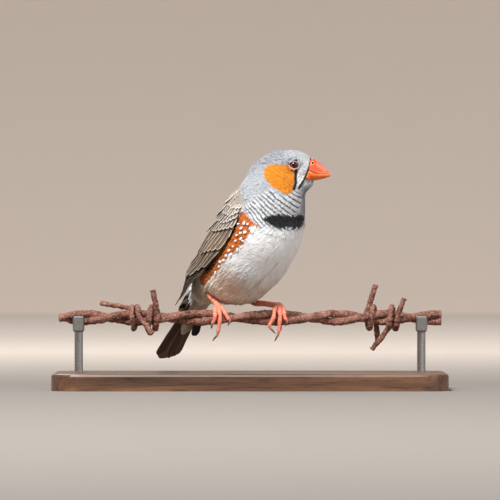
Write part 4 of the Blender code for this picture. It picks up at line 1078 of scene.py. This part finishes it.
def vaneMaterial():
    # feather colour from the attribute, with barbs that slant from the shaft
    material = featherMaterial("vanes", roughness=0.7, sheen=0.03, grain=500.0, bump=0.1)
    tree = material.node_tree
    uv = added(tree, "UVMap", uv_map="vane").outputs["UV"]
    place = added(tree, "SeparateXYZ", {0: uv}).outputs
    fromShaft = maths(tree, "ABSOLUTE", maths(tree, "SUBTRACT", place["X"], 0.5))
    slant = maths(tree, "MULTIPLY_ADD", fromShaft, -0.16, place["Y"])
    barbs = maths(tree, "SINE", maths(tree, "MULTIPLY", slant, 420.0))
    fed(tree, tree.nodes["Principled BSDF"], {"Normal": bumped(tree, barbs, 0.35, 0.00006)})
    return material


# Bill, eyes and lids

bill = {
    "voxel": 0.13, "smooth": 5, "sunk": 0.5, "nostril": (22.1, 54.85), "gape": (21.4, 51.6),
    "mouth": [(18.4, 52.8), (21.0, 52.3), (22.6, 51.6), (24.2, 51.2), (25.8, 51.25), (27.2, 51.15),
              (28.3, 50.9), (29.0, 50.6)],
    "upper": paint(238, 84, 34), "culmen": paint(240, 112, 96), "billHighlight": paint(255, 158, 134),
    "billHighlightLine": [(23.6, 54.4), (26.8, 52.3)], "edge": paint(250, 158, 92), "lower": paint(252, 116, 40),
    "rim": paint(246, 190, 150), "dark": paint(60, 18, 12),
}


def billColour(points, isUpper, fromMouth):
    x, height = points[:, 0], heightOf(points)
    if isUpper:
        across = np.abs(points[:, 1] - head["middleY"])
        # painted highlight: a paler pink band along the top ridge of the upper bill
        colour = mix(bill["upper"], bill["culmen"], rise(1.7, 0.2, across) * rise(23, 25, x) * 0.8)
        colour = mix(colour, bill["edge"], rise(0.8, 0.1, fromMouth) * rise(22, 25, x) * 0.75)
        # painted highlight: a pale pink streak over the middle of the upper bill's side
        colour = mix(colour, bill["billHighlight"], rise(1.0, 0.2, lineDistance(bill["billHighlightLine"], x, height)) * 0.5)
        # the nostril: a pale rim, and a painted dark spot for the shade inside its opening
        hole = np.hypot((x - bill["nostril"][0]) * 1.2, (height - bill["nostril"][1]) * 0.9)
        onSide = rise(1.4, 2.0, across)
        colour = mix(colour, bill["rim"], rise(0.74, 0.5, hole) * onSide * 0.75)
        colour = mix(colour, bill["dark"], rise(0.46, 0.36, hole) * onSide)
    else:
        colour = mix(bill["lower"], bill["edge"], rise(-0.9, -0.2, fromMouth) * 0.6)
    gape = np.hypot((x - bill["gape"][0]) * 0.75, (height - bill["gape"][1]) * 2)
    colour = mix(colour, bill["rim"], rise(0.9, 0.2, gape) * 0.8)
    colour = mix(colour, bill["edge"], rise(27.2, 28.8, x) * 0.7)
    return colour * (1 + 0.04 * waves(points, 1.2, 41))[:, None]


def makeBill(name, node):
    isUpper = node == "bill_upper"
    piece = copiedNodes(name, [node])
    if not isUpper:
        withJaw(piece)
    applied(piece, "REMESH", mode="VOXEL", voxel_size=bill["voxel"] * mm, use_smooth_shade=True)
    applied(piece, "SMOOTH", factor=0.5, iterations=bill["smooth"])
    points = places(piece)
    fromMouth = heightOf(points) - interp(bill["mouth"], points[:, 0])
    setColours(piece, billColour(points, isUpper, fromMouth))
    # the rear edge runs under the feathers, and the two halves part at the mouth
    behind = interp(marks["billEdge"], heightOf(points)) - points[:, 0]
    points = points - normals(piece) * (bill["sunk"] * rise(-0.15, 0.2, behind))[:, None]
    points[:, 2] -= (1 if isUpper else -1) * 0.09 * rise(0.5, 0.2, np.abs(fromMouth))
    setPlaces(piece, points)
    return piece


def turned(aboutZ, aboutX):
    cz, sz, cx, sx = math.cos(aboutZ), math.sin(aboutZ), math.cos(aboutX), math.sin(aboutX)
    return np.array(((cz, -sz, 0), (sz, cz, 0), (0, 0, 1))) @ np.array(((1, 0, 0), (0, cx, -sx), (0, sx, cx)))


eyeColours = {
    "lid": paint(206, 172, 168), "lidDark": paint(150, 100, 96), "iris": paint(196, 70, 62),
    "irisDark": paint(66, 12, 12), "pupil": paint(3, 3, 4), "rim": paint(28, 10, 9), "irisRadius": 1.55,
    "pupilRadius": 0.92,
}


def onFace(side, points):
    # from the eye's own place, looking along Y, to its place on the head
    turn = turned(-side * math.radians(eye["forward"]), side * math.radians(eye["up"]))
    return eyeMiddle(side) + eye["shift"] + points @ turn.T


def makeEye(name, side):
    piece = addedBall(eye["radius"] * mm, segments=64, rings=48)
    piece.name = name
    bpy.ops.object.shade_smooth()
    ball = places(piece)[:, (0, 2, 1)]
    ball[:, 1] *= eye["bulge"]
    away = np.hypot(ball[:, 0], ball[:, 2])
    ball[:, 1] *= 1 - 0.75 * rise(1.04, 1.25, lidRing(ball[:, 0], ball[:, 2]))
    rays = 0.3 + 0.35 * np.sin(np.arctan2(ball[:, 2], ball[:, 0]) * 23)
    colour = mix(eyeColours["iris"], eyeColours["irisDark"], np.clip(rays + rise(1.0, 1.4, away) * 0.5, 0, 1))
    # painted shade: the top of the iris darker, under the upper lid
    colour = mix(colour, eyeColours["irisDark"], rise(0.1, 0.9, ball[:, 2]) * 0.85)
    pupil, iris = eyeColours["pupilRadius"], eyeColours["irisRadius"]
    colour = mix(colour, eyeColours["pupil"], rise(pupil + 0.08, pupil - 0.04, away))
    colour = mix(colour, eyeColours["rim"], rise(iris - 0.1, iris + 0.08, away))
    setPlaces(piece, onFace(side, ball))
    setColours(piece, colour)
    merged(piece, 0.001, outwards=True)
    return piece


def makeLid(name, side, steps=72, sides=12):
    # the ring of bare skin round the eye, beaded as the real one is
    t, u = np.meshgrid(np.linspace(0, 2 * math.pi, steps, endpoint=False),
                       np.linspace(0, 2 * math.pi, sides, endpoint=False), indexing="ij")
    bead = 1 + 0.10 * np.sin(t * 26) + 0.06 * np.sin(t * 11 + 1)
    tube = lid["tube"] * bead * (1 + 0.25 * np.cos(t + 0.4))
    wide, high = lid["half"]
    ballSide = eye["bulge"] * np.sqrt(eye["radius"]**2 - np.hypot(np.cos(t) * wide, np.sin(t) * high)**2)
    lift = (ballSide + lid["lift"]) / 2 + 0.08
    x, z = np.cos(t) * (wide + tube * np.cos(u)), np.sin(t) * (high + tube * np.cos(u))
    lean = math.radians(eye["tilt"])
    flat = np.stack((x * math.cos(lean) - z * math.sin(lean), side * (lift + tube * np.sin(u)),
                     x * math.sin(lean) + z * math.cos(lean)), axis=-1).reshape(-1, 3)
    shade = np.clip(0.5 - 0.5 * np.sin(u), 0, 1).ravel()
    colour = mix(eyeColours["lid"], eyeColours["lidDark"], shade * 0.8)
    return tubeMesh(name, onFace(side, flat).reshape(steps, sides, 3), colour, closed=True)


def tubeMesh(name, rings, colours, closed=False):
    # a skin over rings of points, closed on itself or with a cap at each end
    steps, sides = rings.shape[:2]
    grid = np.arange(steps * sides).reshape(steps, sides)
    following = np.roll(grid, -1, axis=0) if closed else grid[1:]
    here = grid if closed else grid[:-1]
    a, b = here.ravel(), np.roll(here, -1, axis=1).ravel()
    d, c = following.ravel(), np.roll(following, -1, axis=1).ravel()
    triangles = np.concatenate((np.stack((a, b, c), 1), np.stack((a, c, d), 1)))
    points = rings.reshape(-1, 3)
    if not closed:
        points = np.concatenate((points, rings[0].mean(axis=0)[None], rings[-1].mean(axis=0)[None]))
        colours = np.concatenate((colours, colours[:1], colours[-1:]))
        first, last = grid[0], grid[-1]
        startCap = np.stack((np.full(sides, len(points) - 2), np.roll(first, -1), first), 1)
        endCap = np.stack((np.full(sides, len(points) - 1), last, np.roll(last, -1)), 1)
        triangles = np.concatenate((triangles, startCap, endCap))
    piece = meshFrom(name, points, triangles, colours)
    merged(piece, 0.0001, outwards=True)
    return piece


def smoothPath(points, steps):
    # a Catmull-Rom curve through the points, evenly cut
    p = np.asarray(points, float)
    p = np.concatenate(((2 * p[0] - p[1])[None], p, (2 * p[-1] - p[-2])[None]))
    fine = []
    for i in range(1, len(p) - 2):
        t = np.linspace(0, 1, 40, endpoint=False)[:, None]
        before, here, after, beyond = p[i - 1:i + 3]
        squared, cubed = 2 * before - 5 * here + 4 * after - beyond, 3 * here - before - 3 * after + beyond
        fine.append(0.5 * (2 * here + (after - before) * t + squared * t**2 + cubed * t**3))
    fine = np.concatenate(fine + [p[-2][None]])
    length = np.concatenate(((0,), np.cumsum(np.linalg.norm(np.diff(fine, axis=0), axis=1))))
    where = np.linspace(0, length[-1], steps)
    return np.stack([np.interp(where, length, fine[:, k]) for k in range(3)], axis=1)


def ringsAlong(path, radii, sides, upward=(0, -1, 0.2)):
    # rings round a path; the angle 0 stays towards one side, and the radii may differ round each ring
    way = unit(np.gradient(path, axis=0))
    up = unit(np.asarray(upward) - way * (way @ np.asarray(upward))[:, None])
    side = np.cross(way, up)
    t = np.linspace(0, 2 * math.pi, sides, endpoint=False)
    around = up[:, None] * np.cos(t)[None, :, None] + side[:, None] * np.sin(t)[None, :, None]
    return path[:, None] + around * radii[..., None]


# Legs and feet

legs = {
    "right": dict(ankle=(-19.2, 7.6, 14.2), foot=-11.5, bend=(-14.4, 2.7, 8.0), sunk=(-13.2, 5.6, 9.8),
                  bareTo="bend", top=0.8),
    "left": dict(ankle=(1.0, 12.2, 5.6), foot=10.3, bend=(1.0, 12.2, 5.6), sunk=(0.3, 11.0, 9.8),
                 bareTo="sunk", top=1.0),
}
shank = {"steps": 60, "plates": 1.5, "radius": [(0, 1.15), (0.3, 1.15), (0.6, 1.0), (0.85, 1.05), (1, 1.15)]}
toes = {
    "right": (dict(x=(-0.9, -1.0, -2.0, -2.3), end=(-3.2, -2.4), tip=(-1.2, -3.9)),
              dict(x=(0.3, 0.9, 0.0, -1.9), end=(-3.4, -5.6), tip=(-2.3, -8.4)),
              dict(x=(1.5, 3.6, 4.4, 3.6), end=(-3.8, -0.9), tip=(-3.0, -2.9))),
    "left": (dict(x=(-1.3, -2.0, -3.4, -1.2), end=(-3.9, -2.9), tip=(-3.0, -5.8)),
             dict(x=(0.2, 0.4, -0.2, -1.6), end=(-3.6, -5.5), tip=(-2.6, -8.5)),
             dict(x=(1.4, 2.2, 2.9, 2.4), end=(-3.9, -1.2), tip=(-3.2, -3.0))),
}
foot = {
    "y": -0.3, "ballHeight": 4.25, "ball": 1.25, "radius": 0.8, "reach": 3.81, "angles": (28, 62, 92),
    "hallux": dict(x=(0.0, 0.3, 0.6, 0.8), end=(3.3, -2.2), tip=(1.9, -4.6)), "steps": 100, "clawFrom": 67,
    "skinTo": 74, "plates": 0.85, "taper": [(0, 1.05), (0.15, 1.0), (0.8, 0.9), (0.97, 0.72), (1, 0.45)],
    "clawSides": 12, "skin": paint(238, 138, 110), "groove": paint(206, 88, 66), "pale": paint(250, 182, 156),
    "top": paint(168, 56, 44), "claw": paint(196, 122, 104), "clawTip": paint(110, 62, 54),
}


def scaled(path, radius, pitch, topShade=None, sides=16):
    # a scaly toe or shank: plates across its front, small scales on its sides
    steps = len(path)
    length = np.concatenate(((0,), np.cumsum(np.linalg.norm(np.diff(path, axis=0), axis=1))))
    phase = (length / pitch) % 1
    t = np.linspace(0, 2 * math.pi, sides, endpoint=False)
    front = rise(-0.2, 0.5, np.cos(t))[None]
    scales = 0.03 * np.sin(4 * t)[None] * np.cos(2 * math.pi * phase)[:, None]
    plate = (0.45 - phase)[:, None] * 0.10 * front + scales
    rings = ringsAlong(path, radius[:, None] * (1 + plate), sides)
    groove = (rise(0.80, 0.95, phase) + rise(0.12, 0.0, phase))[:, None] * (0.35 + 0.65 * front)
    colour = mix(foot["skin"], foot["groove"], groove.ravel() * 0.6)
    # painted highlight: the middle of each plate on the front paler
    light = np.repeat(rise(0.15, 0.45, phase) * rise(0.8, 0.5, phase), sides) * np.tile(front[0], steps)
    colour = mix(colour, foot["pale"], light * 0.5)
    # painted shade towards the given colour, where the shank runs under the body
    if topShade is not None:
        colour = mix(colour, foot["top"], np.repeat(topShade, sides))
    return rings, colour


def toePoints(footX, toe, front):
    sign = -1 if front else 1
    knuckle, middle, end, tip = toe["x"]
    points = [overWire(footX, foot["y"], foot["ballHeight"])]
    for angle, shift in zip(foot["angles"], (knuckle, (knuckle + middle) / 2, middle)):
        t = math.radians(angle)
        y, z = sign * foot["reach"] * math.sin(t), foot["reach"] * math.cos(t)
        points.append(overWire(footX + shift, y, z))
    points.append(overWire(footX + end, *toe["end"]))
    half = (np.array(toe["end"]) + np.array(toe["tip"])) / 2 + np.array((sign * 0.45, -0.1))
    points.append(overWire(footX + (end + tip) / 2, *half))
    points.append(overWire(footX + tip, *toe["tip"]))
    return points


def makeShank(side):
    leg = legs[side]
    bend, sunk = overWire(*leg["bend"]), overWire(*leg["sunk"])
    ball = overWire(leg["foot"], foot["y"], foot["ballHeight"])
    path = smoothPath([sunk, bend, bend + (ball - bend) * 0.5, ball], shank["steps"])
    share = np.linspace(0, 1, shank["steps"])
    # painted shade: the shank darker towards its top, under the body, the far leg the most
    shadeUnderBody = rise(0.5, 0.22, share) * leg["top"]
    rings, colour = scaled(path, interp(shank["radius"], share), shank["plates"], topShade=shadeUnderBody)
    return tubeMesh("shank" + side.title(), rings, colour)


def makeToe(name, path):
    share = np.linspace(0, 1, len(path))
    pads = 1 + 0.10 * np.cos(2 * math.pi * (share * 3.0 + 0.08))
    rings, colour = scaled(path, foot["radius"] * interp(foot["taper"], share) * pads, foot["plates"])
    return tubeMesh(name, rings, colour)


def makeClaw(name, path):
    share, sides = np.linspace(0, 1, len(path)), foot["clawSides"]
    radius = 0.5 * (1 - share) ** 0.6 + 0.03
    rings = ringsAlong(path, np.repeat(radius[:, None], sides, axis=1), sides)
    colour = mix(foot["claw"], foot["clawTip"], rise(0.2, 0.7, share))
    return tubeMesh(name, rings, np.repeat(colour, sides, axis=0))


def makeLegAndFoot(side):
    footX = legs[side]["foot"]
    made, claws = [makeShank(side)], []
    for i, toe in enumerate((*toes[side], foot["hallux"])):
        path = smoothPath(toePoints(footX, toe, toe is not foot["hallux"]), foot["steps"])
        made.append(makeToe(f"toe{side.title()}{i}", path[:foot["skinTo"]]))
        claws.append(makeClaw(f"claw{side.title()}{i}", path[foot["clawFrom"]:]))
    ball = overWire(footX, foot["y"], foot["ballHeight"])
    pad = addedBall(foot["ball"] * mm, Vector(ball * mm), (1.15, 1.0, 1.0), segments=32, rings=20)
    bpy.ops.object.shade_smooth()
    setColours(pad, foot["skin"])
    return joined("leg" + side.title(), *made, pad), joined("claws" + side.title(), *claws)


# Wire and barbs

rust = {
    "layers": ((0.10, 2.2), (0.06, 0.7), (0.14, 5.0)), "flakes": (0.16, 1.6), "upward": (0.12, -0.35, 1),
    "strand": 1.37, "barbRadius": 0.96, "barbCoil": 3.95, "barbStep": 36.0, "grey": 0.3,
}
wireBarbs = {
    "barb_left_a": dict(x=(-42.6, -39.6), turn=(478, 12), first=(-53.4, 3.6, 5.2), last=(-34.6, -5.6, -5.6)),
    "barb_left_b": dict(x=(-36.4, -32.8), turn=(-440, 18), first=(-35.6, 9.0, -5.6), last=(-34.6, -5.2, 9.8)),
    "barb_right_a": dict(x=(41.6, 44.6), turn=(160, 540), first=(44.9, 2.6, 11.7), last=(45.6, 5.0, -8.2)),
    "barb_right_b": dict(x=(52.6, 49.2), turn=(14, -440), first=(54.9, -4.6, 6.9), last=(43.4, 0.6, -11.4)),
}


def rustyTube(name, path, radius, sides, seed):
    # a wire with lumps, pits and flakes
    flat = ringsAlong(path, np.full((len(path), sides), 1.0), sides, rust["upward"]).reshape(-1, 3)
    change = sum(size * waves(flat, scale, seed + k) for k, (size, scale) in enumerate(rust["layers"]))
    size, scale = rust["flakes"]
    change += size * rise(0.15, 0.5, waves(flat, scale, seed + 9)) - 0.4 * size
    full = radius + change.reshape(len(path), sides).clip(-0.3, 0.2) * 0.8
    rings = ringsAlong(path, full, sides, rust["upward"])
    return tubeMesh(name, rings, np.full((len(flat), 3), rust["grey"]))


def makeStrand(name, phase, steps=760, sides=28):
    x = np.linspace(*wire["ends"], steps)
    turns = [(place, k * math.pi) for k, place in enumerate(wire["halfTurns"])]
    t = curveThrough(turns, 1, x) + phase
    offset = wire["strandOffset"]
    path = np.stack((x, -offset * np.cos(t), wire["height"] + offset * np.sin(t)), axis=1)
    return rustyTube(name, path, rust["strand"], sides, 51 + int(phase))


def makeBarb(name, barb, seed):
    points = [overWire(*barb["first"])]
    turn = np.linspace(*barb["turn"], int(abs(barb["turn"][1] - barb["turn"][0]) / rust["barbStep"]))
    for x, t in zip(np.linspace(*barb["x"], len(turn)), np.radians(turn)):
        points.append(overWire(x, -rust["barbCoil"] * math.cos(t), rust["barbCoil"] * math.sin(t)))
    points.append(overWire(*barb["last"]))
    return rustyTube(name.replace("_", "") + "Rusty", smoothPath(points, 260), rust["barbRadius"], 20, seed)


# Materials other than feathers

def paintedMaterial(name, roughness, coatWeight=0.0, grain=1500.0, bump=0.1, subsurface=0.0, specular=0.5):
    # colour from the attribute with a fine bump, for horn, skin and eyes
    material = featherMaterial(name, roughness=roughness, sheen=0.0, grain=grain, bump=bump)
    tree = material.node_tree
    shader = fed(tree, tree.nodes["Principled BSDF"],
                 {"Coat Weight": coatWeight, "Coat Roughness": 0.06, "Specular IOR Level": specular})
    if subsurface:
        fed(tree, shader, {"Subsurface Weight": subsurface, "Subsurface Radius": (1.0, 0.35, 0.2),
                           "Subsurface Scale": 0.0006})
    return material


def rustMaterial():
    material, tree, shader = newMaterial("rust")
    place = objectPlace(tree)
    broad, fine = noise(tree, place, 220.0, 6.0, 0.62), noise(tree, place, 1400.0, 8.0, 0.7)
    pits = added(tree, "TexVoronoi", {"Vector": place, "Scale": 900.0}).outputs["Distance"]
    base = ramp(tree, broad, [(0.32, paint(70, 42, 34)), (0.45, paint(120, 78, 66)),
                              (0.58, paint(164, 115, 100)), (0.72, paint(204, 164, 146))])
    flakes = ramp(tree, fine, [(0.38, paint(56, 30, 22)), (0.48, paint(128, 84, 70)),
                               (0.56, paint(168, 120, 104)), (0.66, paint(226, 190, 174))])
    height = maths(tree, "MULTIPLY_ADD", pits, 0.5, fine)
    fed(tree, shader, {"Base Color": blended(tree, "MIX", 0.5, base, flakes), "Roughness": 0.88,
                       "Normal": bumped(tree, height, 1.0, 0.0005), "Specular IOR Level": 0.25})
    return material


def woodMaterial():
    material, tree, shader = newMaterial("wood")
    place = objectPlace(tree, scale=(9, 150, 150))
    pores = noise(tree, place, 7.0, 3.0, 0.7)
    base = ramp(tree, noise(tree, place, 1.0, 6.0, 0.6, distortion=0.6),
                [(0.30, paint(62, 40, 28)), (0.5, paint(98, 66, 46)), (0.68, paint(132, 94, 66))])
    dark = ramp(tree, pores, [(0.34, (0.45, 0.45, 0.45)), (0.5, (1, 1, 1))])
    fed(tree, shader, {"Base Color": blended(tree, "MULTIPLY", 1.0, base, dark), "Roughness": 0.42,
                       "Normal": bumped(tree, pores, 0.25, 0.0001), "Coat Weight": 0.25,
                       "Coat Roughness": 0.2})
    return material


def metalMaterial():
    material, tree, shader = newMaterial("brushedSteel")
    brushed = noise(tree, objectPlace(tree, scale=(600, 600, 6000)), 1.0, 4.0)
    tone = ramp(tree, brushed, [(0.3, paint(150, 150, 150)), (0.7, paint(186, 186, 184))])
    fed(tree, shader, {"Base Color": tone, "Metallic": 1.0, "Roughness": 0.36})
    return material


# Room: a plain pale floor that rises all round, with painted light and shade graded into its paint, soft
# light and the camera

room = {"flat": 3.2, "rim": 3.9, "high": 3.0, "front": (0.0, -0.9, 0.0), "far": 5.0,
        "tones": [(0.20, paint(140, 133, 127)), (0.36, paint(206, 196, 186)), (0.72, paint(214, 203, 193)),
                  (0.82, paint(242, 229, 218)), (1.0, paint(190, 178, 169))]}
view = {"lens": 500.0, "frameWidth": 177.5, "aim": (0.0, -8.0, 49.6)}
lights = {
    "skyStrength": 0.66, "skyColour": (0.965, 0.985, 1.0, 1), "aim": (0.0, -0.008, 0.055),
    "key": dict(place=(-0.3, -0.85, 1.1), size=0.30, power=25.5, colour=(0.975, 0.99, 1.0)),
    "fill": dict(place=(0.9, -0.9, 0.4), size=1.2, power=5.0, colour=(0.92, 0.96, 1.0)),
    "backdrop": dict(place=(0.0, 1.0, 1.5), aim=(0.0, 3.6, 0.1), size=1.6, power=17.0,
                     colour=(1.0, 0.98, 0.96)),
    "rim": dict(place=(-0.4, 0.9, 0.8), size=0.6, power=4.0, colour=(1.0, 0.98, 0.95)),
}


def makeRoom():
    bpy.ops.object.select_all(action="DESELECT")
    bpy.ops.mesh.primitive_circle_add(vertices=96, radius=room["flat"], fill_type="NGON")
    floor = bpy.context.object
    floor.name = "floor"
    bpy.ops.object.mode_set(mode="EDIT")
    bpy.ops.mesh.select_mode(type="EDGE")
    bpy.ops.mesh.select_all(action="SELECT")
    bpy.ops.mesh.region_to_loop()
    turns, bend, reach = 8, room["rim"] - room["flat"], room["flat"]
    for k in range(1, turns + 1):
        before, t = math.pi / 2 * (k - 1) / turns, math.pi / 2 * k / turns
        wider = room["flat"] + bend * math.sin(t)
        rises = bend * (1 - math.cos(t)) - bend * (1 - math.cos(before))
        bpy.ops.mesh.extrude_edges_move(TRANSFORM_OT_translate={"value": (0, 0, rises)})
        bpy.ops.transform.resize(value=(wider / reach, wider / reach, 1))
        reach = wider
    bpy.ops.mesh.extrude_edges_move(TRANSFORM_OT_translate={"value": (0, 0, room["high"])})
    bpy.ops.object.mode_set(mode="OBJECT")
    bpy.ops.object.shade_smooth()
    material, tree, shader = newMaterial("paleFloor")
    # the paint changes with distance from the front: darker on the near floor, and a painted lighter band at
    # the foot of the wall against the shade where the floor turns up
    away = added(tree, "VectorMath", {0: objectPlace(tree), 1: room["front"]}, operation="DISTANCE")
    tone = ramp(tree, maths(tree, "DIVIDE", away.outputs["Value"], room["far"]), room["tones"])
    fed(tree, shader, {"Base Color": tone, "Roughness": 0.95, "Specular IOR Level": 0.1})
    floor.data.materials.append(material)
    world = bpy.data.worlds.new("room")
    bpy.context.scene.world = world
    world.use_nodes = True
    sky = {"Color": lights["skyColour"], "Strength": lights["skyStrength"]}
    fed(world.node_tree, world.node_tree.nodes["Background"], sky)
    bpy.context.scene.view_settings.view_transform = "Standard"


def makeLights():
    for name in ("key", "fill", "rim", "backdrop"):
        light = lights[name]
        data = bpy.data.lights.new(name, "AREA")
        data.shape = "DISK"
        data.size = light["size"]
        data.energy = light["power"]
        data.color = light["colour"]
        made = bpy.data.objects.new(name, data)
        bpy.context.scene.collection.objects.link(made)
        made.location = light["place"]
        aim = Vector(light.get("aim", lights["aim"])) - made.location
        made.rotation_euler = aim.to_track_quat("-Z", "Y").to_euler()
        made.visible_camera = False


def makeCamera():
    data = bpy.data.cameras.new("camera")
    data.lens = view["lens"]
    data.clip_end = 100
    made = bpy.data.objects.new("camera", data)
    bpy.context.scene.collection.objects.link(made)
    x, y, z = view["aim"]
    distance = view["frameWidth"] * view["lens"] / data.sensor_width
    made.location = (x * mm, (y - distance) * mm, z * mm)
    made.rotation_euler = (math.pi / 2, 0, 0)
    bpy.context.scene.camera = made


makeRoom()
makeLights()
makeCamera()
print("room, lights and camera")

feathers = featherMaterial("feathers", barred=True)
vanes = vaneMaterial()
horn = paintedMaterial("horn", 0.34, coatWeight=0.15, grain=900.0, bump=0.06, subsurface=0.25)
skinTone = paintedMaterial("scalySkin", 0.45, grain=2400.0, bump=0.12, subsurface=0.2)
wetEye = paintedMaterial("wetEye", 0.03, grain=1200.0, bump=0.0, specular=0.55)
rusty = rustMaterial()

skin = makeSkin()
finishPiece(skin, feathers, "grey_feathers", "head", "neck", "torso")
print("skin", len(skin.data.polygons), "faces")
for piece in makeCoat(skin):
    isPale = piece.name in ("coatBelly", "coatBreast", "coatVent")
    finishPiece(piece, feathers, "pale_feathers" if isPale else "grey_feathers")
for name, side in (("right", 1), ("left", -1)):
    piece = makeWing("wingFeathers" + name.title(), side)
    finishPiece(piece, vanes, "wing_feathers", "wing_" + name)
    print("wing", name, len(piece.data.polygons), "triangles")
finishPiece(makeTail(), vanes, "tail_feathers", "tail")
print("tail")
finishPiece(makeBill("billUpper", "bill_upper"), horn, "bill_horn", "bill_upper")
finishPiece(makeBill("billLower", "bill_lower"), horn, "bill_horn", "bill_lower")
for name, side in (("right", -1), ("left", 1)):
    finishPiece(makeEye("eyeball" + name.title(), side), wetEye, "eye", "eye_" + name)
    finishPiece(makeLid("lid" + name.title(), side), skinTone, "eye")
print("bill, eyes and lids")
for name in ("right", "left"):
    leg, claws = makeLegAndFoot(name)
    finishPiece(leg, skinTone, "leg_skin", "leg_" + name, "foot_" + name)
    finishPiece(claws, horn, "leg_skin")
print("legs and feet")
finishPiece(makeStrand("strandA", 0.0), rusty, "rusty_wire", "wire_strand_a")
finishPiece(makeStrand("strandB", math.pi), rusty, "rusty_wire", "wire_strand_b")
for i, (name, barb) in enumerate(wireBarbs.items()):
    finishPiece(makeBarb(name, barb, 61 + 5 * i), rusty, "rusty_wire", name)
print("wire and barbs")
wood, steel = woodMaterial(), metalMaterial()
for name, material in (("stand_base", wood), ("stand_rod_left", steel), ("stand_rod_right", steel)):
    nodes[name].data.materials.clear()
    nodes[name].data.materials.append(material)
    select(nodes[name])
    bpy.ops.object.shade_smooth_by_angle(angle=math.radians(35))
print("stand")
